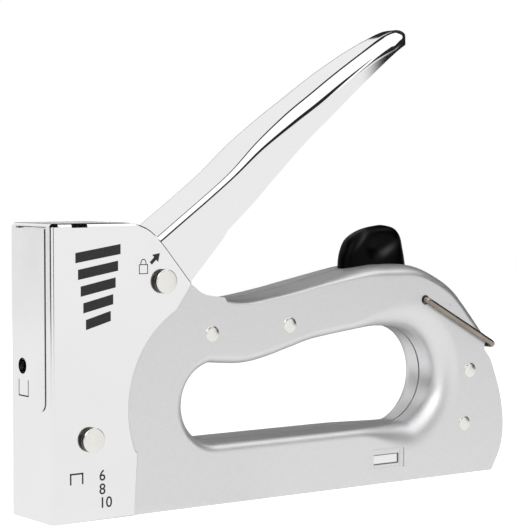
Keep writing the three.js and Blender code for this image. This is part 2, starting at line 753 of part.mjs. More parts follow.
function lockBail() {
  const out = shellHalf + GAP + BAIL.wire;
  const inside = shellInner - BAIL.inside;
  const hinge = (y) => new THREE.Vector3(rearX + BAIL.x, y, BAIL.z);
  const back = (y) => new THREE.Vector3(rearX + BAIL.endX, y, BAIL.endZ);
  const corners = [hinge(-inside), hinge(-out), back(-out), back(out), hinge(out), hinge(inside)];
  const path = new THREE.CurvePath();
  let from = corners[0];
  for (let i = 1; i + 1 < corners.length; i++) {
    const round = i === 1 || i === 4 ? 1.5 : 3;
    const enter = corners[i].clone().lerp(corners[i - 1], round / corners[i].distanceTo(corners[i - 1]));
    const leave = corners[i].clone().lerp(corners[i + 1], round / corners[i].distanceTo(corners[i + 1]));
    path.add(new THREE.LineCurve3(from, enter));
    path.add(new THREE.QuadraticBezierCurve3(enter, corners[i], leave));
    from = leave;
  }
  path.add(new THREE.LineCurve3(from, corners.at(-1)));
  return wireAlong(path, BAIL.wire, 80, 8);
}

// A fin on the grip that the squeezed lever lands on. Its foot follows the grip's top line.
function leverBumper() {
  const { front, back, half, height, round } = BUMPER;
  const foot = crest
    .getSpacedPoints(120)
    .filter(({ x }) => x > rearX + front && x < rearX + back)
    .filter((_, i) => i % 3 === 0)
    .map(({ x, y }) => at(x, y + GAP));
  const fin = new THREE.Shape().moveTo(rearX + back, foot[0].y);
  fin.splineThru([rear(back - 1.6, 83.5), rear(2.4, 87.3), rear(-2.3, height)]);
  fin.splineThru([
    rear(-8.3, 87),
    rear(-13.2, 84.2),
    rear(front + 0.8, 79.5),
    rear(front, foot.at(-1).y),
  ]);
  for (const { x, y } of [...foot].reverse()) fin.lineTo(x, y);
  const section = roundTopped(-half, half, height, round);
  return common(slab(fin, -half, half, 4), bar(section, rearX + front - 2, rearX + back + 2));
}

// ---- Assembly ----

const gun = new THREE.Group();
gun.position.x = -(rearX + HEEL.back) / 2;

function add(name, geometry, finish) {
  const mesh = new THREE.Mesh(geometry, new THREE.MeshStandardMaterial(COLOURS[finish]));
  mesh.name = name;
  gun.add(mesh);
}

const leftShell = gripShell();
add("head_casing", headCasing(), "plate");
add("nose_plate", nosePlate(), "plate");
add("left_shell", leftShell, "paint");
add("right_shell", mirroredAcross(leftShell), "paint");
for (const [name, place] of Object.entries(RIVETS)) {
  add(name, rivet(place), "nickel");
  add(name.replace("rivet", "sleeve"), rivetSleeve(place), "steel");
}
add("lever_pivot_pin", headedPin(PIVOT), "nickel");
add("nose_pin", headedPin(NOSE_PIN), "nickel");
add("pivot_sleeve", pivotSleeve(), "steel");
add("lever", lever(), "plate");
add("lever_return_spring", leverReturnSpring(), "steel");
add("lever_bumper", leverBumper(), "rubber");
add("lock_bail", lockBail(), "wire");
add("striker_carrier", strikerCarrier(), "steel");
add("striker_blade", strikerBlade(), "steel");
add("striker_buffer", strikerBuffer(), "rubber");
add("spring_top_stop", springTopStop(), "steel");
add("main_spring", mainSpring(), "steel");
add("magazine_channel", magazineChannel(), "plate");
add("staple_rail", stapleRail(), "steel");
add("staple_strip", stapleStrip(), "steel");
add("staple_pusher", staplePusher(), "steel");
add("pusher_rod", rodAlong(PUSHER.rod, magazineFront + PUSHER.length, railEnd), "steel");
add("pusher_spring", pusherSpring(), "steel");
add("drawer_end_block", drawerEndBlock(), "steel");
add("drawer_leaf_right", drawerLeaf(), "steel");
add("drawer_leaf_left", mirroredAcross(drawerLeaf()), "steel");

export default gun;
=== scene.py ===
"""A hand staple gun on a white sweep: plated head, silver-painted grip, chromed lever, black bumper.

Metres, +Z up, +X from the nose to the back, the middle of the base at the origin. The frame's CAD
gives every piece its place and its motion; the classes below remake the pieces that show with the
bends, rounded edges and finishes that the real ones have, and dress the pieces inside.
"""

import json
import logging
import math
from dataclasses import dataclass, field
from enum import Enum
from typing import Callable, Iterable, Sequence

import bmesh
import bpy
from mathutils import Matrix, Vector
from mathutils.geometry import tessellate_polygon

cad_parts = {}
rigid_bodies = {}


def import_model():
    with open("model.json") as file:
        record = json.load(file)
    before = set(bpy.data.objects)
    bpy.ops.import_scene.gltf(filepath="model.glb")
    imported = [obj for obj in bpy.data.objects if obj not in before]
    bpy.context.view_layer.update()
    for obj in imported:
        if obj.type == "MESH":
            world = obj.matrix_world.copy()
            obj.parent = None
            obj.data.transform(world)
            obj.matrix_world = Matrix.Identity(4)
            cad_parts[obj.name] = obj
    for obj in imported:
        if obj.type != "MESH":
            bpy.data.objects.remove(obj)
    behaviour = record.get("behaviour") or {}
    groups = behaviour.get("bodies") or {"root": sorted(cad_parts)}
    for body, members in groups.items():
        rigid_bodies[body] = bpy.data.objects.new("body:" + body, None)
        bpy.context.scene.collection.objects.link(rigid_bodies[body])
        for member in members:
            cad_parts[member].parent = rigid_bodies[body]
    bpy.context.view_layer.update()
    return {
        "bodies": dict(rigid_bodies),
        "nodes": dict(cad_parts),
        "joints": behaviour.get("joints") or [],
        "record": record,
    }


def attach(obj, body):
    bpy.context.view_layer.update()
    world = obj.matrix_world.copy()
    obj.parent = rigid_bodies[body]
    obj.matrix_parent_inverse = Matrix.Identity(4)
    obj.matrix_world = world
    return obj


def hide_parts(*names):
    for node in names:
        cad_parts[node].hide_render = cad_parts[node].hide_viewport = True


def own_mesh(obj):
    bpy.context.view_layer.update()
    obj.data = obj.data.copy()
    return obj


log = logging.getLogger("staple_gun")

MM = 0.001
Point = tuple[float, float]
Point3 = tuple[float, float, float]


class Axis(Enum):
    """The axis that a turned piece or a spring is wound round."""

    X = "X"
    Y = "Y"
    Z = "Z"


# ---------------------------------------------------------------------------
# Frame of reference
# ---------------------------------------------------------------------------

@dataclass(frozen=True)
class Datum:
    """Where the side profile's own zero lies, and the sizes and places that several pieces share."""

    nose: float = -93.1  # mm: the profile's x = 0 on the object's X axis
    head_half: float = 12.8
    shell_half: float = 11.8
    shell_wall: float = 1.2
    opening_x: float = 61.5
    opening_span: float = 77.8
    pivot: Point = (40, 72.5)
    pivot_r: float = 2.9
    nose_pin: Point = (13.5, 25)
    nose_pin_r: float = 2.6
    outside: float = 15.0  # a cutter that reaches this far across passes both cheeks

    @property
    def rear(self) -> float:
        """The profile x of the rear centre of the finger opening."""
        return self.opening_x + self.opening_span

    @property
    def rivets(self) -> list[Point]:
        """The centres of the four rivets."""
        return [(59, 55), (90, 56.3), (self.rear + 30.7, 36.5), (self.rear + 28.2, 17.7)]

    @property
    def hinge(self) -> Point:
        """The centre that the wire loop swings about."""
        return (self.rear + 9.7, 62.3)

    @property
    def window_start(self) -> float:
        """The profile x of the base window's front end."""
        return self.rear - 13.3

    def place(self, x: float, y: float, z: float) -> Vector:
        """A point of the profile, in millimetres from the nose, as an object point in metres."""
        return Vector(((x + self.nose) * MM, y * MM, z * MM))


DATUM = Datum()


# ---------------------------------------------------------------------------
# Curves
# ---------------------------------------------------------------------------


def lerp(a: float, b: float, t: float) -> float:
    """The value a share t of the way from a to b."""
    return a + (b - a) * t


def smoothstep(t: float, a: float, b: float) -> float:
    """A smooth rise from 0 at a to 1 at b."""
    s = min(max((t - a) / (b - a), 0.0), 1.0)
    return s * s * (3 - 2 * s)


def circle(x: float, z: float, r: float, steps: int) -> list[Point]:
    """Points evenly round a circle."""
    turns = [2 * math.pi * k / steps for k in range(steps)]
    return [(x + r * math.cos(a), z + r * math.sin(a)) for a in turns]


def catmull(points: Sequence[Point], t: float) -> Point:
    """A point on the smooth line through a row of points.

    Args:
        points: the points it passes through.
        t: how far along, from 0 to 1, by the number of points.

    Returns:
        The point.
    """
    n = len(points)
    place = (n - 1) * t
    i = min(int(place), n - 2)
    w = place - i
    p1, p2 = points[i], points[i + 1]
    p0 = points[max(i - 1, 0)]
    p3 = points[min(i + 2, n - 1)]

    def along(a: float, b: float, c: float, d: float) -> float:
        """One coordinate, from those of the four points round the place."""
        v0, v1 = (c - a) * 0.5, (d - b) * 0.5
        return (
            (2 * b - 2 * c + v0 + v1) * w**3 + (-3 * b + 3 * c - 2 * v0 - v1) * w**2 + v0 * w + b
        )

    return (along(p0[0], p1[0], p2[0], p3[0]), along(p0[1], p1[1], p2[1], p3[1]))


class Path:
    """A smooth line through points, measured by its own length."""

    def __init__(self, points: Sequence[Point], samples: int = 400) -> None:
        """Measure the line.

        Args:
            points: the points that it passes through.
            samples: how many short chords its length is measured with.
        """
        self.points = list(points)
        self.samples = samples
        self.lengths = [0.0]
        last = catmull(self.points, 0)
        for i in range(1, samples + 1):
            here = catmull(self.points, i / samples)
            self.lengths.append(self.lengths[-1] + math.dist(last, here))
            last = here

    def at(self, share: float) -> Point:
        """The point at a share of the line's length.

        Args:
            share: from 0 at its start to 1 at its end.

        Returns:
            The point.
        """
        target = share * self.lengths[-1]
        low, high = 0, self.samples
        while high - low > 1:
            middle = (low + high) // 2
            low, high = (middle, high) if self.lengths[middle] <= target else (low, middle)
        step = self.lengths[high] - self.lengths[low]
        w = (target - self.lengths[low]) / step if step else 0.0
        return catmull(self.points, (low + w) / self.samples)

    def tangent(self, share: float) -> Point:
        """The unit direction of travel at a share of the line's length."""
        a, b = self.at(max(share - 1e-3, 0)), self.at(min(share + 1e-3, 1))
        length = math.dist(a, b)
        return ((b[0] - a[0]) / length, (b[1] - a[1]) / length)


class Arc:
    """A circular arc in the side profile, measured by its own length."""

    def __init__(self, x: float, z: float, r: float, start: float, end: float) -> None:
        """Set the arc: its centre, its radius, and its first and last angle in degrees."""
        self.x, self.z, self.r = x, z, r
        self.start, self.end = math.radians(start), math.radians(end)

    def at(self, share: float) -> Point:
        """The point at a share of the arc."""
        a = self.start + share * (self.end - self.start)
        return (self.x + self.r * math.cos(a), self.z + self.r * math.sin(a))

    def row(self, steps: int) -> list[Point]:
        """Its points at equal steps, both ends included."""
        return [self.at(i / steps) for i in range(steps + 1)]


class Line:
    """A straight stretch in the side profile."""

    def __init__(self, a: Point, b: Point) -> None:
        """Set the two ends."""
        self.a, self.b = a, b

    def at(self, share: float) -> Point:
        """The point at a share of the line."""
        return (lerp(self.a[0], self.b[0], share), lerp(self.a[1], self.b[1], share))


# ---------------------------------------------------------------------------
# Mesh helpers
# ---------------------------------------------------------------------------


def mesh_object(name: str, mesh: bpy.types.Mesh) -> bpy.types.Object:
    """Put a mesh in the scene as an object at the origin."""
    made = bpy.data.objects.new(name, mesh)
    bpy.context.scene.collection.objects.link(made)
    return made


def heal(mesh: bpy.types.Mesh, gap: float = 1e-7, turn: bool = True) -> None:
    """Merge a mesh's doubled points and turn its faces outwards.

    Args:
        mesh: the mesh that changes.
        gap: points closer than this are merged, in metres.
        turn: whether the faces are turned as well.
    """
    work = bmesh.new()
    work.from_mesh(mesh)
    bmesh.ops.remove_doubles(work, verts=work.verts, dist=gap)
    if turn:
        bmesh.ops.recalc_face_normals(work, faces=work.faces)
    work.to_mesh(mesh)
    work.free()


def from_faces(
    name: str, points: Sequence[Vector], faces: Sequence[Sequence[int]]
) -> bpy.types.Object:
    """Make an object from points and faces, its normals turned outwards.

    Args:
        name: the object's name.
        points: vertices in metres.
        faces: vertex numbers, face by face.

    Returns:
        The object.
    """
    mesh = bpy.data.meshes.new(name)
    mesh.from_pydata([tuple(p) for p in points], [], [list(f) for f in faces])
    heal(mesh)
    return mesh_object(name, mesh)


def bands(rings: int, n: int, base: int = 0) -> list[Sequence[int]]:
    """The faces between rings of points.

    Args:
        rings: how many rings there are.
        n: how many points each holds.
        base: the number of the first ring's first point.

    Returns:
        The faces, each of four point numbers.
    """
    return [
        (a + k, a + (k + 1) % n, a + n + (k + 1) % n, a + n + k)
        for a in range(base, base + (rings - 1) * n, n)
        for k in range(n)
    ]


def lofted(name: str, rings: Sequence[Sequence[Vector]]) -> bpy.types.Object:
    """A closed solid through rings of points, its first and last ring filled.

    Args:
        name: the object's name.
        rings: the rings in metres, all with the same number of points.

    Returns:
        The object.
    """
    n = len(rings[0])
    end = len(rings) * n
    caps: list[Sequence[int]] = [list(range(n)), list(range(end - 1, end - n - 1, -1))]
    return from_faces(name, [p for ring in rings for p in ring], caps + bands(len(rings), n))


def profile_box(
    x0: float, x1: float, y0: float, y1: float, z0: float, z1: float
) -> bpy.types.Object:
    """A closed box given by its sides in profile millimetres.

    Args:
        x0: its front.
        x1: its back.
        y0: its near side.
        y1: its far side.
        z0: its bottom.
        z1: its top.

    Returns:
        The object.
    """
    points = [DATUM.place(x, y, z) for x in (x0, x1) for y in (y0, y1) for z in (z0, z1)]
    faces = [(0, 1, 3, 2), (4, 6, 7, 5), (0, 4, 5, 1), (2, 3, 7, 6), (0, 2, 6, 4), (1, 5, 7, 3)]
    return from_faces("cutter", points, faces)


def slab(outline: Sequence[Point], y0: float, y1: float) -> bpy.types.Object:
    """A flat piece with a side outline in profile millimetres, from y0 to y1 across."""
    return lofted("cutter", [[DATUM.place(x, y, z) for x, z in outline] for y in (y0, y1)])


def front_slab(outline: Sequence[Point], x0: float, x1: float) -> bpy.types.Object:
    """A flat piece with an outline seen from the nose, as (across, height), from x0 to x1."""
    return lofted("cutter", [[DATUM.place(x, y, z) for y, z in outline] for x in (x0, x1)])


def cross_bar(
    r: float, x: float, z: float, y0: float, y1: float, steps: int = 48
) -> bpy.types.Object:
    """A plain round bar across the object, for cutting a hole."""
    return slab(circle(x, z, r, steps), y0, y1)


def turned(
    name: str, half: Sequence[Point], x: float, z: float, steps: int = 48
) -> bpy.types.Object:
    """A piece turned round a line across the object.

    Args:
        name: the object's name.
        half: (radius, distance from the middle) from the middle outwards, ending on the axis.
        x: the axis in profile millimetres.
        z: its height.
        steps: faces round the piece.

    Returns:
        The object.
    """
    line = [(r, -y) for r, y in reversed(half)] + [(r, y) for r, y in half]
    points: list[Vector] = []
    rings: list[list[int]] = []
    for r, y in line:
        if r < 1e-6:
            rings.append([len(points)])
            points.append(DATUM.place(x, y, z))
            continue
        ring = []
        for k in range(steps):
            a = 2 * math.pi * k / steps
            ring.append(len(points))
            points.append(DATUM.place(x + r * math.cos(a), y, z + r * math.sin(a)))
        rings.append(ring)
    faces: list[Sequence[int]] = []
    for a, b in zip(rings, rings[1:]):
        for k in range(steps):
            j = (k + 1) % steps
            if len(a) == 1:
                faces.append((a[0], b[k], b[j]))
            elif len(b) == 1:
                faces.append((a[k], a[j], b[0]))
            else:
                faces.append((a[k], a[j], b[j], b[k]))
    return from_faces(name, points, faces)


def combine(
    target: bpy.types.Object, others: Iterable[bpy.types.Object], operation: str = "DIFFERENCE"
) -> None:
    """Cut other solids from a solid, or join them to it, and remove them.

    Args:
        target: the solid that changes.
        others: the solids used up.
        operation: DIFFERENCE, UNION or INTERSECT.
    """
    for other in others:
        step = target.modifiers.new("combine", "BOOLEAN")
        step.operation, step.solver, step.object = operation, "EXACT", other
        apply_modifiers(target)
        bpy.data.meshes.remove(other.data)


def apply_modifiers(target: bpy.types.Object) -> None:
    """Turn an object's modifiers into plain mesh.

    Args:
        target: the object.
    """
    graph = bpy.context.evaluated_depsgraph_get()
    made = bpy.data.meshes.new_from_object(
        target.evaluated_get(graph), preserve_all_data_layers=True, depsgraph=graph
    )
    old, name = target.data, target.data.name
    target.modifiers.clear()
    target.data = made
    bpy.data.meshes.remove(old)
    made.name = name


def soften(
    target: bpy.types.Object,
    edge: float = 0.12,
    angle: float = 28,
    segments: int = 2,
    merge: bool = True,
) -> None:
    """Break an object's sharp edges and shade its round faces smoothly.

    Args:
        target: the object.
        edge: the broken edge's width in millimetres, or 0 for none.
        angle: edges sharper than this are broken, in degrees.
        segments: faces across a broken edge.
        merge: dissolve faces that lie in one plane first.
    """
    work = bmesh.new()
    work.from_mesh(target.data)
    bmesh.ops.remove_doubles(work, verts=work.verts, dist=2e-6)
    if merge:
        bmesh.ops.dissolve_limit(
            work,
            angle_limit=math.radians(0.6),
            use_dissolve_boundaries=False,
            verts=work.verts,
            edges=work.edges,
        )
    work.to_mesh(target.data)
    work.free()
    target.data.shade_smooth()
    if edge:
        step = target.modifiers.new("edges", "BEVEL")
        step.width, step.segments = edge * MM, segments
        step.limit_method, step.angle_limit = "ANGLE", math.radians(angle)
        step.miter_outer = "MITER_ARC"
        step.harden_normals = False
        step.use_clamp_overlap = True
    else:
        target.data.set_sharp_from_angle(angle=math.radians(angle))
    even = target.modifiers.new("shading", "WEIGHTED_NORMAL")
    even.keep_sharp, even.weight, even.mode = True, 80, "FACE_AREA"
    apply_modifiers(target)


def channel_outline(outer: Sequence[Point], inner: Sequence[Point]) -> list[Point]:
    """A channel's whole outline.

    Args:
        outer: its outer face from one side's foot to the middle, as (across, along the side).
        inner: its inner face, likewise.

    Returns:
        The closed outline, foot to foot outside, then foot to foot inside.
    """
    far_outer = [(-y, d) for y, d in reversed(outer)]
    far_inner = [(-y, d) for y, d in inner]
    return [*outer, *far_outer, *far_inner, *reversed(inner)]


def channel_cap(n: int, base: int) -> list[Sequence[int]]:
    """The faces that close a channel's end.

    Args:
        n: the number of points in its outline.
        base: the number of the first of them.

    Returns:
        The faces, each of four point numbers.
    """
    return [
        (base + k, base + k + 1, base + n - 2 - k, base + n - 1 - k) for k in range(n // 2 - 1)
    ]


def ready_copy(node: str, name: str) -> bpy.types.Object:
    """A copy of a CAD node's mesh with its loose triangles merged, ready to be refined.

    Args:
        node: the CAD node's name.
        name: the copy's name.

    Returns:
        The copy.
    """
    made = mesh_object(name, frame["nodes"][node].data.copy())
    heal(made.data, 2e-6, turn=False)
    made.data.materials.clear()
    return made


def dress(target: bpy.types.Object, *finishes: bpy.types.Material) -> None:
    """Give an object its finishes."""
    target.data.materials.clear()
    for finish in finishes:
        target.data.materials.append(finish)


def stand_in(
    piece: bpy.types.Object, body: str, slot: str, *nodes: str
) -> bpy.types.Object:
    """Let a finished piece take the place of CAD nodes.

    Args:
        piece: the finished piece.
        body: the CAD body it rides on.
        slot: the record's material slot; not used.
        nodes: the CAD nodes that it stands for.

    Returns:
        The piece.
    """
    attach(piece, body)
    if nodes:
        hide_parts(*nodes)
    log.info("%s: %d faces, for %s", piece.name, len(piece.data.polygons), ", ".join(nodes) or "-")
    return piece


# ---------------------------------------------------------------------------
# Finishes
# ---------------------------------------------------------------------------


def colour(code: str) -> tuple[float, float, float, float]:
    """Turn an sRGB hex value to linear.

    Args:
        code: six hex digits.

    Returns:
        Red, green, blue and a full alpha.
    """
    parts = [int(code[i : i + 2], 16) / 255 for i in (0, 2, 4)]
    return (
        *(p / 12.92 if p <= 0.04045 else ((p + 0.055) / 1.055) ** 2.4 for p in parts),
        1.0,
    )


def per_metre(size_mm: float) -> float:
    """The scale of a pattern whose features are a number of millimetres apart."""
    return 1 / (size_mm * MM)


def add_node(
    tree: bpy.types.NodeTree,
    kind: str,
    inputs: dict[object, object] | Sequence[object] = (),
    **settings: object,
) -> bpy.types.Node:
    """Add a node with its settings, values and links.

    Args:
        tree: the tree it goes in.
        kind: the node's type name.
        inputs: by name or number, or in order from the first, a value, a socket to link from, or
            a node whose first output is linked.
        settings: properties of the node.

    Returns:
        The node.
    """
    node = tree.nodes.new(kind)
    for key, value in settings.items():
        setattr(node, key, value)
    for key, value in inputs.items() if isinstance(inputs, dict) else enumerate(inputs):
        if isinstance(value, bpy.types.Node):
            value = value.outputs[0]
        if isinstance(value, bpy.types.NodeSocket):
            tree.links.new(value, node.inputs[key])
        else:
            node.inputs[key].default_value = value
    return node


def start_material(
    name: str,
) -> tuple[bpy.types.Material, bpy.types.NodeTree, bpy.types.NodeSocket]:
    """A new material, its empty tree, and the object coordinates that its pattern is drawn on.

    Args:
        name: the material's name.

    Returns:
        The material, its tree and the coordinates' socket.
    """
    made = bpy.data.materials.new(name)
    made.use_nodes = True
    tree = made.node_tree
    tree.nodes.clear()
    return made, tree, add_node(tree, "ShaderNodeTexCoord").outputs["Object"]


@dataclass(frozen=True)
class Finish:
    """What every finish has: a name, and a shader whose values its own pattern sets."""

    name: str

    def surface(
        self, tree: bpy.types.NodeTree, place: bpy.types.NodeSocket
    ) -> dict[object, object]:
        """Draw the pattern.

        Args:
            tree: the material's tree.
            place: the object coordinates.

        Returns:
            The shader's inputs.
        """
        raise NotImplementedError

    def build(self) -> bpy.types.Material:
        """Make the material."""
        made, tree, place = start_material(self.name)
        shader = add_node(tree, "ShaderNodeBsdfPrincipled", self.surface(tree, place))
        add_node(tree, "ShaderNodeOutputMaterial", (shader,))
        return made


@dataclass(frozen=True)
class PlatedSteel(Finish):
    """Steel sheet with bright nickel and chromium plating, which mirrors its surroundings.

    Drawing and polishing leave it faintly uneven: long soft waves a few centimetres across, and a
    haze of fine scuffs that shows only as a slightly uneven gloss.
    """

    tint: str = "F0F0F0"
    gloss: float = 0.12
    wave: float = 0.05
    scuff: float = 0.05
    wave_mm: float = 30.0
    smudge_mm: float = 11.0
    grain_mm: float = 0.35

    def surface(
        self, tree: bpy.types.NodeTree, place: bpy.types.NodeSocket
    ) -> dict[object, object]:
        """Draw the waves, and the haze and grain of the gloss.

        Args:
            tree: the material's tree.
            place: the object coordinates.

        Returns:
            The shader's inputs.
        """
        waves = add_node(
            tree, "ShaderNodeTexNoise",
            {"Vector": place, "Scale": per_metre(self.wave_mm), "Detail": 1.0},
        )
        stretch = add_node(tree, "ShaderNodeMapping", {"Vector": place, "Scale": (0.25, 1.0, 1.0)})
        grain = add_node(
            tree, "ShaderNodeTexNoise",
            {"Vector": stretch, "Scale": per_metre(self.grain_mm), "Detail": 3.0},
        )
        smudge = add_node(
            tree, "ShaderNodeTexNoise",
            {"Vector": place, "Scale": per_metre(self.smudge_mm), "Detail": 4.0},
        )
        haze = add_node(
            tree, "ShaderNodeMapRange", (smudge, 0.35, 0.7, self.gloss, self.gloss + self.scuff)
        )
        fine = add_node(tree, "ShaderNodeMapRange", (grain, 0.3, 0.7, -0.02, 0.02))
        return {
            "Base Color": colour(self.tint),
            "Metallic": 1.0,
            "Roughness": add_node(tree, "ShaderNodeMath", (haze, fine), operation="ADD"),
            "Normal": add_node(
                tree, "ShaderNodeBump", {"Height": waves, "Strength": self.wave, "Distance": 0.002}
            ),
        }


@dataclass(frozen=True)
class MetallicPaint(Finish):
    """Sprayed silver enamel: aluminium flake under a satin clear film.

    The flake gives a soft broad sheen that falls off as the face turns away from the light, with a
    barely visible sparkle; the film adds a faint skin gloss with orange peel.
    """

    tint: str = "ECECED"
    turned_away: float = 0.965  # the brightness of a flake that faces elsewhere
    flake_mm: float = 0.45  # real flake is about 0.03 mm; drawn coarser so that it shows at all
    peel_mm: float = 2.2

    def surface(
        self, tree: bpy.types.NodeTree, place: bpy.types.NodeSocket
    ) -> dict[object, object]:
        """Draw the flake and the orange peel.

        Args:
            tree: the material's tree.
            place: the object coordinates.

        Returns:
            The shader's inputs.
        """
        flake = add_node(
            tree, "ShaderNodeTexVoronoi", {"Vector": place, "Scale": per_metre(self.flake_mm)}
        )
        sparkle = add_node(tree, "ShaderNodeSeparateColor", (flake.outputs["Color"],))
        light = colour(self.tint)
        dark = (*(self.turned_away * c for c in light[:3]), 1.0)
        tone = add_node(
            tree, "ShaderNodeMix", {"Factor": sparkle, 6: dark, 7: light}, data_type="RGBA"
        )
        peel = add_node(
            tree, "ShaderNodeTexNoise",
            {"Vector": place, "Scale": per_metre(self.peel_mm), "Detail": 2.0},
        )
        return {
            "Base Color": tone.outputs[2],
            "Metallic": 0.93,
            "Roughness": add_node(
                tree, "ShaderNodeMapRange", (sparkle.outputs[1], 0, 1, 0.42, 0.48)
            ),
            "Coat Weight": 0.08,
            "Coat Roughness": 0.25,
            "Normal": add_node(
                tree, "ShaderNodeBump", {"Height": peel, "Strength": 0.06, "Distance": 0.0004}
            ),
        }


@dataclass(frozen=True)
class BareMetal(Finish):
    """Uncoated or thinly nickelled metal, drawn, turned or rolled.

    Drawing and turning leave fine lines and a satin gloss, a little darker in patches where oil
    or oxide sits.
    """

    tint: str = "C4C1BA"
    stain: str = "A39F96"
    gloss: float = 0.3
    line_mm: float = 0.4
    patch_mm: float = 6.0
    along: Axis = Axis.X

    def surface(
        self, tree: bpy.types.NodeTree, place: bpy.types.NodeSocket
    ) -> dict[object, object]:
        """Draw the lines and the patches.

        Args:
            tree: the material's tree.
            place: the object coordinates.

        Returns:
            The shader's inputs.
        """
        scale = tuple(0.08 if axis is self.along else 1.0 for axis in Axis)
        lines = add_node(tree, "ShaderNodeMapping", {"Vector": place, "Scale": scale})
        drawn = add_node(
            tree, "ShaderNodeTexNoise",
            {"Vector": lines, "Scale": per_metre(self.line_mm), "Detail": 2.0},
        )
        patch = add_node(
            tree, "ShaderNodeTexNoise",
            {"Vector": place, "Scale": per_metre(self.patch_mm), "Detail": 4.0},
        )
        dulled = add_node(tree, "ShaderNodeMapRange", (patch, 0.35, 0.7, 0.0, 0.7))
        tone = add_node(
            tree, "ShaderNodeMix",
            {"Factor": dulled, 6: colour(self.tint), 7: colour(self.stain)}, data_type="RGBA",
        )
        smooth, rough = self.gloss - 0.06, self.gloss + 0.1
        return {
            "Base Color": tone.outputs[2],
            "Metallic": 1.0,
            "Roughness": add_node(
                tree, "ShaderNodeMapRange", (drawn, 0.25, 0.75, smooth, rough)
            ),
            "Normal": add_node(
                tree, "ShaderNodeBump", {"Height": drawn, "Strength": 0.08, "Distance": 0.0001}
            ),
        }


@dataclass(frozen=True)
class Moulded(Finish):
    """Moulded rubber or plastic with a fine spark-eroded grain and a low sheen.

    A mesh may carry a float attribute from 0 to 1 that paints a highlight: it lightens the base
    colour to grey there.
    """

    tint: str = "040404"
    # the grey that a painted highlight lightens the base colour to
    painted_highlight_tint: str = "484848"
    gloss: float = 0.27
    grain_mm: float = 0.5
    rub_mm: float = 7.0
    depth: float = 0.06
    sheen: float = 0.05

    def surface(
        self, tree: bpy.types.NodeTree, place: bpy.types.NodeSocket
    ) -> dict[object, object]:
        """Draw the grain, the painted highlight and the uneven gloss.

        Args:
            tree: the material's tree.
            place: the object coordinates.

        Returns:
            The shader's inputs.
        """
        grain = add_node(
            tree, "ShaderNodeTexNoise",
            {"Vector": place, "Scale": per_metre(self.grain_mm), "Detail": 3.0},
        )
        rubbing_and_highlight = add_node(
            tree, "ShaderNodeTexNoise",
            {"Vector": place, "Scale": per_metre(self.rub_mm), "Detail": 3.0},
        )
        # painted highlight: a mesh attribute lightens the base colour towards a grey tint, in place
        # of glints of light
        wear = add_node(tree, "ShaderNodeAttribute", attribute_name="wear")
        tone = add_node(
            tree, "ShaderNodeMix",
            {"Factor": wear.outputs["Fac"], 6: colour(self.tint), 7: colour(self.painted_highlight_tint)},
            data_type="RGBA",
        )
        smooth, rough = self.gloss - 0.05, self.gloss + 0.09
        return {
            "Base Color": tone.outputs[2],
            "Roughness": add_node(tree, "ShaderNodeMapRange", (rubbing_and_highlight, 0.3, 0.7, smooth, rough)),
            "IOR": 1.5,
            "Specular IOR Level": self.sheen,
            "Normal": add_node(
                tree, "ShaderNodeBump",
                {"Height": grain, "Strength": self.depth, "Distance": 0.0002},
            ),
        }


@dataclass(frozen=True)
class PadInk(Finish):
    """Pad-printed ink: a thin, slightly uneven film, matt against the plating."""

    tint: str = "232222"
    fleck_mm: float = 0.3

    def surface(
        self, tree: bpy.types.NodeTree, place: bpy.types.NodeSocket
    ) -> dict[object, object]:
        """Draw the pale flecks where the film is thin.

        Args:
            tree: the material's tree.
            place: the object coordinates.

        Returns:
            The shader's inputs.
        """
        fleck = add_node(
            tree, "ShaderNodeTexNoise",
            {"Vector": place, "Scale": per_metre(self.fleck_mm), "Detail": 3.0},
        )
        ink = colour(self.tint)
        pale = (*(min(1.0, 1.9 * c + 0.01) for c in ink[:3]), 1.0)
        thin = add_node(tree, "ShaderNodeMapRange", (fleck, 0.5, 0.8, 0.0, 0.8))
        tone = add_node(tree, "ShaderNodeMix", {"Factor": thin, 6: ink, 7: pale}, data_type="RGBA")
        return {"Base Color": tone.outputs[2], "Roughness": 0.55, "IOR": 1.48}


class Finishes:
    """Every finish of the object, made once."""

    def __init__(self) -> None:
        """Make them."""
        self.casing = PlatedSteel("bright_nickel_plated_sheet").build()
        self.chrome = PlatedSteel(
            "polished_chromium_plate", tint="EDEDEE", gloss=0.05, wave=0.015, scuff=0.02
        ).build()
        self.paint = MetallicPaint("silver_flake_enamel").build()
        self.pin = BareMetal(
            "turned_nickel_plated_pin", tint="F3F1EC", stain="EAE7E0", gloss=0.22, along=Axis.Y
        ).build()
        self.steel = BareMetal("zinc_plated_sheet_steel", tint="BDBBB5", stain="A09E99").build()
        self.wire = BareMetal(
            "drawn_spring_wire", tint="A89F94", stain="877E73", gloss=0.27
        ).build()
        # the blackened steel of the striker's blade; the same finish paints shade on the casing's
        # notch faces
        self.blackened_steel_and_shade = BareMetal(
            "blackened_hardened_steel", tint="1C1B1A", stain="131212", gloss=0.42, along=Axis.Z
        ).build()
        # painted shade: a dark finish for the pins' flanks, standing in for the shade in the gap
        # under their heads
        self.painted_shade_flank = BareMetal(
            "shaded_turned_flank", tint="3A3835", stain="1F1D1B", along=Axis.Y
        ).build()
        self.staple = BareMetal(
            "galvanised_staple_wire", tint="C2C0B8", stain="A8A59C", gloss=0.34, along=Axis.Y
        ).build()
        self.rubber = Moulded("moulded_black_rubber").build()
        self.plastic = Moulded(
            "moulded_black_acetal", tint="101010", gloss=0.4, grain_mm=0.3, sheen=0.4
        ).build()
        self.ink = PadInk("black_pad_print").build()


# ---------------------------------------------------------------------------
# Geometry Nodes
# ---------------------------------------------------------------------------


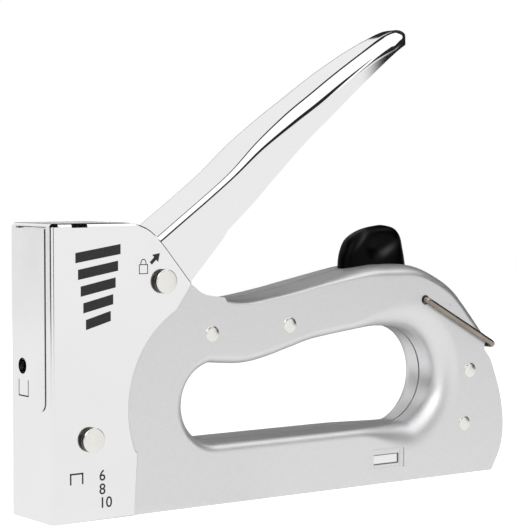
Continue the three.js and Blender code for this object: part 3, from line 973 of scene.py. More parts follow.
class NodeRig:
    """A Geometry Nodes tree with named inputs, applied once to an object as plain mesh."""

    def __init__(self, name: str) -> None:
        """Start an empty tree with a geometry input and output.

        Args:
            name: the tree's name.
        """
        self.tree = bpy.data.node_groups.new(name, "GeometryNodeTree")
        self.tree.interface.new_socket("Geometry", in_out="INPUT", socket_type="NodeSocketGeometry")
        self.tree.interface.new_socket(
            "Geometry", in_out="OUTPUT", socket_type="NodeSocketGeometry"
        )
        self.values: dict[str, float | int] = {}
        self.entry: bpy.types.Node | None = None

    def size(self, name: str, value: float | int) -> None:
        """Declare a named size before the tree's entry is used."""
        kind = "NodeSocketInt" if isinstance(value, int) else "NodeSocketFloat"
        self.tree.interface.new_socket(name, in_out="INPUT", socket_type=kind)
        self.values[name] = value

    def add(
        self, kind: str, inputs: dict[object, object] | Sequence[object] = (), **settings: object
    ) -> bpy.types.Node:
        """Add a node to the tree."""
        return add_node(self.tree, kind, inputs, **settings)

    def given(self, name: str) -> bpy.types.NodeSocket:
        """The socket of a declared size, or of the incoming geometry."""
        if self.entry is None:
            self.entry = self.tree.nodes.new("NodeGroupInput")
        return self.entry.outputs[name]

    def finish(self, geometry: bpy.types.Node, finish: bpy.types.Material) -> None:
        """End the tree: instances made real, and the finish set."""
        real = self.add("GeometryNodeRealizeInstances", {"Geometry": geometry})
        dressed = self.add("GeometryNodeSetMaterial", {"Geometry": real, "Material": finish})
        self.add("NodeGroupOutput", (dressed,))

    def run(self, target: bpy.types.Object) -> bpy.types.Object:
        """Apply the tree to an object and leave plain mesh on it.

        Args:
            target: the object whose mesh feeds the tree.

        Returns:
            The same object, now holding the result.
        """
        step = target.modifiers.new(self.tree.name, "NODES")
        step.node_group = self.tree
        for socket in self.tree.interface.items_tree:
            if socket.in_out == "INPUT" and socket.name in self.values:
                step[socket.identifier] = self.values[socket.name]
        apply_modifiers(target)
        return target


def route_object(name: str, points: Sequence[Vector], joined: bool) -> bpy.types.Object:
    """An object of points, to sweep a wire along or to set forms on.

    Args:
        name: the object's name.
        points: the points in metres.
        joined: whether edges join them into a line.

    Returns:
        The object.
    """
    mesh = bpy.data.meshes.new(name)
    edges = [(i, i + 1) for i in range(len(points) - 1)] if joined else []
    mesh.from_pydata([tuple(p) for p in points], edges, [])
    return mesh_object(name, mesh)


def wire_along(
    name: str,
    route: Sequence[Vector],
    radius_mm: float,
    finish: bpy.types.Material,
    sides: int = 16,
) -> bpy.types.Object:
    """A round wire swept along a route by Geometry Nodes.

    Args:
        name: the object's name.
        route: the wire's centre line in metres.
        radius_mm: the wire's radius.
        finish: its material.
        sides: faces round the wire.

    Returns:
        The wire as plain mesh.
    """
    rig = NodeRig(name + "_sweep")
    rig.size("Wire Radius", radius_mm * MM)
    rig.size("Sides", sides)
    line = rig.add("GeometryNodeMeshToCurve", {"Mesh": rig.given("Geometry")})
    section = rig.add(
        "GeometryNodeCurvePrimitiveCircle",
        {"Resolution": rig.given("Sides"), "Radius": rig.given("Wire Radius")},
    )
    swept = rig.add(
        "GeometryNodeCurveToMesh", {"Curve": line, "Profile Curve": section, "Fill Caps": True}
    )
    rig.finish(rig.add("GeometryNodeSetShadeSmooth", {"Geometry": swept}), finish)
    made = rig.run(route_object(name, route, joined=True))
    heal(made.data)
    made.data.set_sharp_from_angle(angle=math.radians(50))
    return made


@dataclass(frozen=True)
class Winding:
    """A coil spring: its sizes in millimetres, its start in the profile, and its axis."""

    radius: float
    wire: float
    turns: float
    length: float
    start: Point3
    axis: Axis
    closed: float = 1.0  # turns wound close at each end

    def route(self, per_turn: int = 28) -> list[Vector]:
        """The wire's centre line, its end turns close together as a wound spring's are.

        Args:
            per_turn: how many chords make a turn.

        Returns:
            The line in metres.
        """
        pitch = 2.05 * self.wire
        end = self.closed * pitch
        free = self.turns - 2 * self.closed
        body = self.length - 2 * self.wire - 2 * end
        points = []
        steps = round(self.turns * per_turn)
        for i in range(steps + 1):
            turn = self.turns * i / steps
            if turn <= self.closed:
                along = turn * pitch
            elif turn >= self.turns - self.closed:
                along = end + body + (turn - self.turns + self.closed) * pitch
            else:
                along = end + body * (turn - self.closed) / free
            along += self.wire
            a = 2 * math.pi * turn
            u, v = self.radius * math.cos(a), self.radius * math.sin(a)
            x, y, z = self.start
            spot = {
                Axis.X: (x + along, y + u, z + v),
                Axis.Y: (x + u, y + along, z + v),
                Axis.Z: (x + u, y + v, z + along),
            }[self.axis]
            points.append(DATUM.place(*spot))
        return points


# ---------------------------------------------------------------------------
# The head
# ---------------------------------------------------------------------------


@dataclass
class Head:
    """The plated casing folded round the nose, and the plate behind its front."""

    finishes: Finishes
    half: float = DATUM.head_half
    wall: float = 1.0
    height: float = 91.0
    back: float = 60.0  # where the folded block ends, before the side outline trims it
    below: float = 6.0  # how far the block goes below the base, likewise
    bend: float = 1.2
    edge: float = 0.45  # the chamfer round the cut edges
    roof_end: float = 33.0
    window_half: float = 9.2
    window_bottom: float = 34.0
    window_corner: float = 3.0
    joint: float = 0.9  # the open joint beside the plate, on the near side
    plate_top: float = 89.4
    plate_lap: float = 0.25  # how far the pressed part reaches past the window, on the far side
    pin_clearance: float = 0.3
    notches: tuple[Point3, ...] = ((-1, 2.3, 0.1), (7, 12.5, 0.3))  # from, to, below the sheet
    notch_in: float = 0.4  # how far they reach in past the cheeks' inner faces
    hole: Point3 = (5.5, 47, 2.5)  # the plate's round hole: across, height, radius
    tab: tuple[float, float, float, float] = (1.7, 7.9, 37.6, 42.8)  # near, far, bottom, top
    shear: float = 0.4  # the width of the cut round the tab
    arc: Arc = field(default_factory=lambda: Arc(61.5, 33, 34.3, 202, 119))

    def cheek(self) -> list[Point]:
        """The side outline of the casing."""
        top = Path(
            [(50.7, 71.5), (44.4, 79), (39.4, 84.8), (35, 88.6), (30.5, 90.4), (26, self.height)]
        )
        outline = [(0.0, 0.0), (29.0, 0.0), (30.5, 19.5), *self.arc.row(48), (50.0, 70.0)]
        return outline + [top.at(i / 16) for i in range(17)] + [(0.0, self.height)]

    def chamfered(self) -> bpy.types.Object:
        """The side outline as a solid across the head, drawn in a little at both cheeks."""
        line = self.cheek()
        drawn = []
        for i, (x, z) in enumerate(line):
            (ax, az), (bx, bz) = line[i - 1], line[(i + 1) % len(line)]
            k = self.edge / math.dist((ax, az), (bx, bz))
            drawn.append((x - (bz - az) * k, z + (bx - ax) * k))
        out, flat = self.half + 0.01, self.half - self.edge
        rows = ((-out, drawn), (-flat, line), (flat, line), (out, drawn))
        return lofted("cutter", [[DATUM.place(x, y, z) for x, z in row] for y, row in rows])

    def folded(self, name: str) -> bpy.types.Object:
        """The outer form: a block with round edges where the sheet is folded.

        Args:
            name: the object's name.

        Returns:
            The solid, trimmed to the side outline.
        """
        block = profile_box(0, self.back, -self.half, self.half, -self.below, self.height)
        block.name = name
        round_off = block.modifiers.new("bends", "BEVEL")
        round_off.width, round_off.segments, round_off.profile = self.bend * MM, 8, 0.5
        round_off.limit_method, round_off.angle_limit = "ANGLE", math.radians(30)
        apply_modifiers(block)
        heal(block.data)
        combine(block, [self.chamfered()], "INTERSECT")
        return block

    def casing(self) -> bpy.types.Object:
        """Fold the casing, and cut its window, slots and holes."""
        shell, outside, above = DATUM.shell_half, DATUM.outside, self.height + 1
        made = self.folded("casing_shell")
        under = self.height - self.wall
        hollow = profile_box(self.wall, self.back + 1, -shell, shell, -self.below - 2, under)
        round_in = hollow.modifiers.new("bends", "BEVEL")
        round_in.width, round_in.segments = (self.bend - self.wall) * MM, 4
        apply_modifiers(hollow)
        heal(hollow.data)
        cut = shell - self.notch_in
        slots = [
            profile_box(x0, x1, a, b, under - drop, above)
            for x0, x1, drop in self.notches
            for a, b in ((-outside, -cut), (cut, outside))
        ]
        lever_slot = profile_box(self.roof_end, self.back + 2, -shell, shell, under - 1, above)
        holes = [
            cross_bar(r + self.pin_clearance, x, z, -outside, outside)
            for (x, z), r in ((DATUM.pivot, DATUM.pivot_r), (DATUM.nose_pin, DATUM.nose_pin_r))
        ]
        combine(made, [hollow, lever_slot, self.window(), *slots, *holes])
        soften(made, edge=0.12, angle=32, segments=2, merge=False)
        # the cut faces at the roof's notches take the blackened steel finish: painted shade, where
        # the notches read as dark gaps
        dress(made, self.finishes.casing, self.finishes.blackened_steel_and_shade)
        near = 0.05
        _, last, deepest = self.notches[-1]
        for face in made.data.polygons:
            x, y, z = face.center / MM
            painted_shade_face = abs(abs(y) - cut) < near and z > under - deepest - near
            face.material_index = 1 if painted_shade_face and x - DATUM.nose < last + 0.5 else 0
        return made

    def round_footed(self, near: float, far: float, low: float, high: float) -> list[Point]:
        """An outline seen from the nose, square above, with round lower corners.

        Args:
            near: its near side, across.
            far: its far side.
            low: its bottom.
            high: its top.

        Returns:
            The outline, as (across, height).
        """
        r = self.window_corner
        near_foot = Arc(near + r, low + r, r, 180, 270).row(10)
        far_foot = Arc(far - r, low + r, r, 270, 360).row(10)
        return [(far, high), (near, high), *near_foot, *far_foot]

    def window(self) -> bpy.types.Object:
        """The cutter for the opening in the folded front."""
        half, top = self.window_half, self.height - self.wall
        outline = self.round_footed(-half, half, self.window_bottom, top)
        return front_slab(outline, -1.0, self.wall + 0.15)

    def plate(self) -> bpy.types.Object:
        """Remake the striker's guide plate, pressed forward into the window till nearly flush."""
        made = ready_copy("nose_plate", "nose_guide_plate")
        near, far = -self.window_half + self.joint, self.window_half + self.plate_lap
        outline = self.round_footed(near, far, self.window_bottom - 0.2, self.plate_top)
        combine(made, [front_slab(outline, -0.02, 1.5)], "UNION")
        combine(made, self.plate_cuts())
        soften(made, edge=0.16, angle=32, segments=2)
        dress(made, self.finishes.casing)
        return made

    def plate_cuts(self) -> list[bpy.types.Object]:
        """The cutters for the round hole and for the cut that shears the plate's tab free."""
        front, behind = -1.0, 4.0
        near, far, low, high = self.tab
        cut = self.shear
        return [
            front_slab(circle(*self.hole, 40), front, behind),
            profile_box(front, behind, near, near + cut, low, high),
            profile_box(front, behind, far - cut, far, low, high),
            profile_box(front, behind, near + 0.1, far - 0.1, low, low + cut),
        ]

    def build(self) -> None:
        """Make, dress and place the head's pieces."""
        stand_in(self.casing(), "frame", "bright_plate", "head_casing")
        stand_in(self.plate(), "frame", "bright_plate", "nose_plate")


# ---------------------------------------------------------------------------
# The grip
# ---------------------------------------------------------------------------


@dataclass(frozen=True)
class Station:
    """A point on a shell's edge: how deep its bend reaches and how far across."""

    x: float
    z: float
    depth: float = 0.0
    reach: float = 0.0


@dataclass
class Grip:
    """The two pressed shells of the grip, which meet at a seam in the middle."""

    finishes: Finishes
    half: float = DATUM.shell_half
    wall: float = DATUM.shell_wall
    crown_reach: float = 7.0
    edge_reach: float = 3.0
    bend_steps: int = 12
    seam: float = 0.34  # half the dark joint between the shells
    rivet_hole: float = 1.9
    hinge_hole: float = 1.7
    window: Point3 = (11, 6.5, 10)  # the base window: its length, bottom and top
    groove: tuple[float, float, float, float] = (13, 13.6, 5, 11.7)  # from, to, bottom, top
    dimple: Point3 = (20.7, 59.8, 0.75)  # beyond the rear centre, height, radius

    def crest(self) -> Path:
        """The grip's top line, from the back notch to the lever slot."""
        rear, x, span = DATUM.rear, DATUM.opening_x, DATUM.opening_span
        from_rear = [(40, 48.8), (35, 54.8), (25, 65.4), (15.8, 71), (6.7, 74.2)]
        shares = [
            (0.94, 74.8), (0.8, 74.1), (0.53, 70), (0.4, 68), (0.2, 65.6), (0.109, 65.4),
            (0.048, 66.3),
        ]
        return Path(
            [(rear + a, z) for a, z in from_rear] + [(x + s * span, z) for s, z in shares]
        )

    def stretch(
        self,
        curve: Path | Arc | Line,
        steps: int,
        turn: Callable[[float], tuple[float, float]] | None = None,
    ) -> list[Station]:
        """Stations along a stretch of edge, its last point left to the next stretch.

        Args:
            curve: the stretch.
            steps: how many stations.
            turn: the bend's depth and reach at a share of the stretch, where the edge is bent.

        Returns:
            The stations.
        """
        made = []
        for i in range(steps):
            share = i / steps
            x, z = curve.at(share)
            depth, reach = turn(share) if turn else (0.0, 0.0)
            made.append(Station(x, z, depth, reach))
        return made

    def outer_edge(self) -> list[Station]:
        """The shell's outline, anticlockwise."""
        rear, front = DATUM.rear, 25.0
        heel = Path(
            [(rear + a, z) for a, z in ((41.2, 0), (45.7, 8), (46.9, 17), (45.2, 28), (40.7, 40))]
        )
        seat = 37.7
        crest = self.crest()
        notch = [heel.at(1), (rear + seat, 43.5), (rear + seat, 45.2), crest.at(0)]
        slot = Path([(64, 66.4), (58, 67.3), (55, 68.3), (50.7, 71.5)])

        def crown(t: float) -> tuple[float, float]:
            """The bend's depth and reach at a share of the crest."""
            return lerp(4, 1.6, smoothstep(t, 0.4, 0.75)), self.crown_reach

        end = crest.at(1)
        stations = [Station(front, 0)]
        stations += self.stretch(heel, 30)
        for a, b in zip(notch, notch[1:]):
            stations += self.stretch(Line(a, b), 2)
        stations += self.stretch(crest, 110, crown)
        stations.append(Station(*end, *crown(1)))
        stations += self.stretch(slot, 12)
        stations += [Station(50.7, 71.5), Station(45, 69)]
        stations += self.stretch(Arc(61.5, 33, 38.3, 126, 197), 20)
        return stations + [Station(front, 20)]

    def opening_edge(self) -> list[Station]:
        """The finger opening's outline, clockwise."""
        rear, x, span = DATUM.rear, DATUM.opening_x, DATUM.opening_span
        narrow, wide = (3.0, self.edge_reach), (9.0, self.crown_reach)

        def blend(t: float) -> tuple[float, float]:
            """The bend's depth and reach a share of the way from narrow to wide."""
            return lerp(narrow[0], wide[0], t), lerp(narrow[1], wide[1], t)

        front = Arc(x, 32.6, 13.2, 270, 101)
        back = Arc(rear, 35.8, 17.1, 80, -74)
        roof = Path(
            [front.at(1)]
            + [
                (x + s * span, z)
                for s, z in (
                    (0.13, 44.7), (0.26, 46.2), (0.39, 48.8), (0.52, 51.2), (0.78, 53.6), (0.9, 53.8),
                )
            ]
            + [back.at(0)]
        )
        narrowed = (rear - 20, 19.4)
        stations = self.stretch(front, 44, lambda t: narrow)
        stations += self.stretch(roof, 56, lambda t: blend(smoothstep(t, 0.7, 1)))
        stations += self.stretch(back, 52, lambda t: wide)
        stations += self.stretch(
            Line(back.at(1), narrowed), 14, lambda t: blend(1 - smoothstep(t, 0, 1))
        )
        stations += self.stretch(Line(narrowed, front.at(0)), 10, lambda t: narrow)
        return stations

    def section(self, station: Station) -> tuple[list[Point], list[Point]]:
        """The faces of an edge, as (in from the edge, out from the seam).

        Args:
            station: the point on the edge.

        Returns:
            The outer face and the inner face.
        """
        steps = self.bend_steps
        if not station.depth:
            drawn = [0.4 * self.wall * (1 - k / (steps + 1)) for k in range(steps + 2)]
            return (
                [(0.0, self.half - d) for d in drawn],
                [(0.0, self.half - self.wall + d) for d in drawn],
            )
        flat = self.half - station.reach

        def face(inset: float) -> list[Point]:
            """The bent face a distance inside the outer one."""
            rows = [(inset, self.seam)]
            for k in range(steps + 1):
                a = math.pi / 2 * k / steps
                inward = station.depth - (station.depth - inset) * math.cos(a)
                rows.append((inward, flat + (station.reach - inset) * math.sin(a)))
            return rows

        return face(0.0), face(self.wall)

    def pressed(self, name: str) -> bpy.types.Object:
        """One pressed half, on the near side: a flat side with its edges turned in.

        Args:
            name: the object's name.

        Returns:
            The shell before its holes are cut.
        """
        points: list[Vector] = []
        faces: list[Sequence[int]] = []
        rims: list[list[tuple[int, int]]] = []
        for loop in (self.outer_edge(), self.opening_edge()):
            columns = []
            for i, here in enumerate(loop):
                before, after = loop[i - 1], loop[(i + 1) % len(loop)]
                length = math.dist((before.x, before.z), (after.x, after.z))
                tx, tz = (after.x - before.x) / length, (after.z - before.z) / length
                outer, inner = self.section(here)
                column = []
                for rows in (outer, inner):
                    numbers = []
                    for inward, across in rows:
                        numbers.append(len(points))
                        points.append(
                            DATUM.place(here.x - tz * inward, -across, here.z + tx * inward)
                        )
                    column.append(numbers)
                columns.append(column)
            for (outer_a, inner_a), (outer_b, inner_b) in zip(columns, columns[1:] + columns[:1]):
                faces.append((inner_a[0], inner_b[0], outer_b[0], outer_a[0]))
                for k in range(len(outer_a) - 1):
                    faces.append((outer_a[k], outer_b[k], outer_b[k + 1], outer_a[k + 1]))
                    faces.append((inner_b[k], inner_a[k], inner_a[k + 1], inner_b[k + 1]))
            rims.append([(column[0][-1], column[1][-1]) for column in columns])
        flat = [[Vector((points[o].x, points[o].z, 0)) for o, _ in rim] for rim in rims]
        pairs = [pair for rim in rims for pair in rim]
        for a, b, c in tessellate_polygon(flat):
            faces.append((pairs[a][0], pairs[b][0], pairs[c][0]))
            faces.append((pairs[a][1], pairs[c][1], pairs[b][1]))
        return from_faces(name, points, faces)

    def cuts(self) -> list[bpy.types.Object]:
        """The cutters for the shell's rivet and hinge holes, base window, groove and dimple."""
        side, start = -self.half, DATUM.window_start
        out, through = side - 2, side + 2.6
        length, low, high = self.window
        groove_from, groove_to, groove_low, groove_high = self.groove
        beyond, height, r = self.dimple
        return [
            *(cross_bar(self.rivet_hole, x, z, out, through, 32) for x, z in DATUM.rivets),
            cross_bar(self.hinge_hole, *DATUM.hinge, out, through, 32),
            profile_box(start, start + length, out, through, low, high),
            profile_box(
                start + groove_from, start + groove_to, out, side + 0.5, groove_low, groove_high
            ),
            cross_bar(r, DATUM.rear + beyond, height, out, side + 0.3, 20),
        ]

    def shell(self, name: str) -> bpy.types.Object:
        """A finished near-side shell.

        Args:
            name: the object's name.

        Returns:
            The shell.
        """
        made = self.pressed(name)
        combine(made, [self.window_frame()], "UNION")
        combine(made, self.cuts())
        soften(made, edge=0.0, angle=38, merge=False)
        dress(made, self.finishes.paint)
        return made

    def window_frame(self) -> bpy.types.Object:
        """A low raised rim pressed round the base window."""
        start, side = DATUM.window_start, -self.half
        rim = profile_box(start - 1.3, start + 12.2, side - 0.22, side + 0.6, 4.6, 11.9)
        edge = rim.modifiers.new("edges", "BEVEL")
        edge.width, edge.segments = 0.18 * MM, 3
        apply_modifiers(rim)
        heal(rim.data)
        combine(rim, [profile_box(start - 0.6, start + 11.6, side - 1, side + 0.02, 5.4, 11.1)])
        return rim

    def mirrored(self, source: bpy.types.Object, name: str) -> bpy.types.Object:
        """The other half of a pair, mirrored across the middle.

        Args:
            source: the half that there is.
            name: the other's name.

        Returns:
            The other half.
        """
        made = mesh_object(name, source.data.copy())
        made.data.transform(Matrix.Diagonal((1, -1, 1, 1)))
        made.data.flip_normals()
        return made

    def build(self) -> None:
        """Make, dress and place both shells."""
        right = self.shell("grip_shell_right")
        left = self.mirrored(right, "grip_shell_left")
        stand_in(right, "frame", "silver_paint", "right_shell")
        stand_in(left, "frame", "silver_paint", "left_shell")


# ---------------------------------------------------------------------------
# The lever and its bumper
# ---------------------------------------------------------------------------


@dataclass
class Lever:
    """The squeezed lever: a drawn channel with round corners, open below."""

    finishes: Finishes
    half: float = 10.3
    tip_half: float = 7.4
    wall: float = 1.2
    narrows: float = 0.6  # the share of the length where it begins to narrow
    nose_start: float = 0.935
    nose_share: float = 0.0652
    root_depth: float = 15.0
    depth: float = 12.3
    root_corner: float = 2.0
    corner: float = 4.5
    tip_corner: float = 1.2  # what the corners' radius gains near the tip
    flange_taper: float = 12.6
    corner_steps: int = 14
    steps: int = 120

    def spine(self) -> Path:
        """The line of the lever's back, seen from the side."""
        return Path(
            [
                (36, 83.2), (49, 92.4), (60, 100.2), (69, 107), (79.5, 116.2), (92, 125.6),
                (102, 132.3), (112, 139), (122, 145.2), (132, 151), (139, 154.5), (143.4, 155.8),
                (146.8, 155.3), (148.5, 153.4),
            ]
        )

    def section(self, share: float) -> list[Point]:
        """The closed cross-section of the channel.

        Args:
            share: how far along the lever, from 0 to 1.

        Returns:
            The outline, as (across, down) in millimetres.
        """
        tip = math.sqrt(1 - (max(0.0, share - self.nose_start) / self.nose_share) ** 2)
        narrow = max(0.0, share - self.narrows) / (self.nose_start - self.narrows)
        half = lerp(self.half, self.tip_half, min(narrow, 1.15) ** 2) * tip
        shallower = self.flange_taper * max(0.0, share - 0.4)
        depth = lerp(self.root_depth, self.depth, smoothstep(share, 0, 0.4)) - shallower
        depth *= lerp(0.6, 1, tip)
        bend = lerp(self.root_corner, self.corner, smoothstep(share, 0.25, 0.6))
        bend += self.tip_corner * smoothstep(share, 0.8, 0.92)
        bend = min(bend, 0.8 * half, 0.92 * depth)

        def side(inset: float) -> list[Point]:
            """One side's half outline, a distance inside the outer face."""
            inset = min(inset, 0.5 * half)
            r = max(bend - inset, 0.02)
            rows = [(half - inset, depth)]
            for k in range(self.corner_steps + 1):
                a = math.pi / 2 * k / self.corner_steps
                rows.append((half - bend + r * math.cos(a), bend - r * math.sin(a)))
            return rows

        return channel_outline(side(0.0), side(self.wall))

    def channel(self, name: str) -> bpy.types.Object:
        """The drawn channel, lofted along the spine.

        Args:
            name: the object's name.

        Returns:
            The channel, closed at both ends.
        """
        spine = self.spine()
        points: list[Vector] = []
        count = 0
        for i in range(self.steps + 1):
            share = 1 - (1 - i / self.steps) ** 1.6
            (x, z), (tx, tz) = spine.at(share), spine.tangent(share)
            rows = self.section(share)
            count = len(rows)
            points += [DATUM.place(x + tz * down, y, z - tx * down) for y, down in rows]
        faces = bands(self.steps + 1, count)
        for base in (0, self.steps * count):
            faces += channel_cap(count, base)
        return from_faces(name, points, faces)

    def build(self) -> None:
        """Make the lever: the channel finely drawn, with its cheeks and fingers below."""
        made = self.channel("squeeze_lever")
        cheeks = ready_copy("lever", "cheeks")
        kept = [
            (-5, 60), (60, 60), (66, 80), (68, 96.5), (58, 93.2), (46.4, 85.6), (36, 79.5), (-5, 70),
        ]
        combine(cheeks, [slab(kept, -12, 12)], "INTERSECT")
        combine(made, [cheeks], "UNION")
        soften(made, edge=0.0, angle=40, merge=False)
        dress(made, self.finishes.chrome)
        stand_in(made, "lever", "bright_plate", "lever")


@dataclass(frozen=True)
class PaintedHighlight:
    """A streak of painted highlight on the fin, lightening its base colour: its middle, direction and
    size.
    """

    x: float  # beyond the rear centre
    z: float
    run: float
    climb: float
    long: float
    wide: float
    strength: float = 1.0

    def at(self, x: float, z: float) -> float:
        """How strong the painted highlight is at a point, from 0 to 1."""
        along = self.run * (x - self.x) + self.climb * (z - self.z)
        across = -self.climb * (x - self.x) + self.run * (z - self.z)
        return self.strength * math.exp(-((along / self.long) ** 2) - (across / self.wide) ** 2)


@dataclass
class Bumper:
    """The black fin on the grip that stops the squeezed lever, hollowed on both sides."""

    finishes: Finishes
    crest: Path
    half: float = 4.5
    height: float = 88.2
    sunk: float = 0.1  # how far its foot reaches into the grip
    top: float = -0.8  # the crown's highest point, beyond the rear centre
    # the hollow in each side: its depth, its middle beyond the rear centre and its length, then
    # its middle's height and its own height
    hollow: tuple[float, float, float, float, float] = (1.3, -4.2, 5.4, 80.2, 3.6)
    levels: int = 40
    around: int = 96
    front_line: tuple[Point, ...] = (
        (-18.9, 0), (-18.7, 0.2), (-17.8, 0.42), (-15.7, 0.65), (-11.4, 0.83), (-6.6, 0.94),
        (-1.0, 1.0),
    )
    back_line: tuple[Point, ...] = (
        (9.2, 0), (8.7, 0.2), (7.9, 0.42), (7.0, 0.65), (5.4, 0.83), (3.2, 0.94), (-0.6, 1.0),
    )
    # streaks of painted highlight: the base colour is lightened to grey along them, standing in for
    # glints of light on the fin
    painted_highlights: tuple[PaintedHighlight, ...] = (
        PaintedHighlight(-1.0, 79.4, 0.87, 0.5, 3.6, 1.2),
        PaintedHighlight(-11.8, 83.8, 0.66, 0.75, 3.8, 0.7, 0.6),
    )

    def __post_init__(self) -> None:
        """Sample the grip's top line once."""
        self.ground = [self.crest.at(i / 200) for i in range(201)]

    def foot(self, x: float) -> float:
        """The height of the grip's top line at a profile x."""
        return min(self.ground, key=lambda p: abs(p[0] - x))[1]

    def build(self) -> None:
        """Loft the fin from its foot on the grip to its rounded crown."""
        points: list[Vector] = []
        rear = DATUM.rear
        hollow_depth, hollow_x, hollow_long, hollow_z, hollow_tall = self.hollow
        for i in range(self.levels):
            t = 1 - (1 - i / self.levels) ** 1.35
            front, share = catmull(self.front_line, t)
            back, _ = catmull(self.back_line, t)
            middle, length = (front + back) / 2, (back - front) / 2
            dome = max(0.0, share - 0.62) / 0.38
            half = self.half * math.sqrt(max(0.0, 1 - 0.97 * dome**2.4))
            for k in range(self.around):
                a = 2 * math.pi * k / self.around
                c, w = math.cos(a), math.sin(a)
                x = middle + length * math.copysign(abs(c) ** 0.62, c)
                y = half * math.copysign(abs(w) ** 0.72, w)
                z = lerp(self.foot(rear + x) - self.sunk, self.height, share)
                away = ((x - hollow_x) / hollow_long) ** 2 + ((z - hollow_z) / hollow_tall) ** 2
                y -= math.copysign(hollow_depth * math.exp(-away) * smoothstep(abs(w), 0.4, 0.9), w)
                points.append(DATUM.place(rear + x, y, z))
        top = len(points)
        points.append(DATUM.place(rear + self.top, 0, self.height))
        last = top - self.around
        faces = bands(self.levels, self.around)
        faces += [(last + k, last + (k + 1) % self.around, top) for k in range(self.around)]
        faces.append(tuple(range(self.around)))
        made = from_faces("bumper_fin", points, faces)
        made.data.shade_smooth()
        made.data.set_sharp_from_angle(angle=math.radians(60))
        # each point's strength of painted highlight, which the rubber's finish reads as a lighter
        # base colour
        wear = made.data.attributes.new("wear", "FLOAT", "POINT")
        for vertex in made.data.vertices:
            x, z = vertex.co.x / MM - DATUM.nose - rear, vertex.co.z / MM
            wear.data[vertex.index].value = max(rubbing_and_highlight.at(x, z) for rubbing_and_highlight in self.painted_highlights)
        dress(made, self.finishes.rubber)
        stand_in(made, "frame", "black_rubber", "lever_bumper")


# ---------------------------------------------------------------------------
# Pins, rivets and wires
# ---------------------------------------------------------------------------


@dataclass
class Fasteners:
    """The lever's pivot pin, the nose pin and the four rivets that hold the shells together."""

    finishes: Finishes
    head: float = 3.8
    proud: float = 2.0
    rim: float = 0.32  # the rounding of the head's edge
    rivet_shank: float = 1.6
    rivet_head: float = 2.6
    rivet_proud: float = 0.62
    rivet_edge: float = 0.16  # the straight edge under the rivet's dome
    seed: int = 4

    def pin(self, name: str, centre: Point, r: float) -> bpy.types.Object:
        """A turned pin with a flat head at each side, its rims a little broken.

        Args:
            name: the object's name.
            centre: its place in the profile.
            r: its shank's radius.

        Returns:
            The pin.
        """
        face, end = DATUM.head_half, DATUM.head_half + self.proud
        half = [(r, 0.5), (r, face + 0.02), (self.head - 0.1, face + 0.02), (self.head, face + 0.14)]
        half += Arc(self.head - self.rim, end - self.rim, self.rim, 0, 90).row(5)
        half += [(self.head * 0.5, end + 0.02), (0.0, end + 0.03)]
        made = turned(name, half, *centre, 72)
        made.data.shade_smooth()
        made.data.set_sharp_from_angle(angle=math.radians(40))
        # the flank below the head's rim takes the dark finish: painted shade
        dress(made, self.finishes.pin, self.finishes.painted_shade_flank)
        for polygon in made.data.polygons:
            across = abs(polygon.center.y) / MM
            polygon.material_index = 1 if across < end - self.rim - 0.04 else 0
        return made

    def rivets(self) -> bpy.types.Object:
        """All four rivets: one form set on their centres, each turned a little differently."""
        face, end = DATUM.shell_half, DATUM.shell_half + self.rivet_proud
        rise = self.rivet_proud - self.rivet_edge
        dome = [
            (self.rivet_head * math.cos(a), face + self.rivet_edge + rise * math.sin(a))
            for a in (math.pi / 2 * i / 8 for i in range(8))
        ]
        half = [(self.rivet_shank, 0.5), (self.rivet_shank, face), (self.rivet_head - 0.06, face)]
        form = turned("rivet_form", half + dome + [(0.0, end)], -DATUM.nose, 0, 40)
        form.data.shade_smooth()
        form.data.set_sharp_from_angle(angle=math.radians(50))
        rig = NodeRig("rivets_on_centres")
        rig.size("Scale", 1.0)
        rig.size("Seed", self.seed)
        shape = rig.add("GeometryNodeObjectInfo", {"Object": form})
        turn = rig.add(
            "FunctionNodeRandomValue",
            {0: (0.0, 0.0, 0.0), 1: (0.0, 2 * math.pi, 0.0), "Seed": rig.given("Seed")},
            data_type="FLOAT_VECTOR",
        )
        placed = rig.add(
            "GeometryNodeInstanceOnPoints",
            {
                "Points": rig.given("Geometry"),
                "Instance": shape.outputs["Geometry"],
                "Rotation": turn,
                "Scale": rig.given("Scale"),
            },
        )
        rig.finish(placed, self.finishes.pin)
        spots = [DATUM.place(x, 0, z) for x, z in DATUM.rivets]
        made = rig.run(route_object("shell_rivets", spots, joined=False))
        bpy.data.meshes.remove(form.data)
        return made

    def build(self) -> None:
        """Make, dress and place the fasteners."""
        pivot = self.pin("lever_pin", DATUM.pivot, DATUM.pivot_r)
        stand_in(pivot, "frame", "nickel_plate", "lever_pivot_pin")
        nose = self.pin("nose_cross_pin", DATUM.nose_pin, DATUM.nose_pin_r)
        stand_in(nose, "frame", "nickel_plate", "nose_pin")
        names = ("grip_rivet_front", "grip_rivet_rear", "back_rivet_upper", "back_rivet_lower")
        stand_in(self.rivets(), "frame", "nickel_plate", *names)


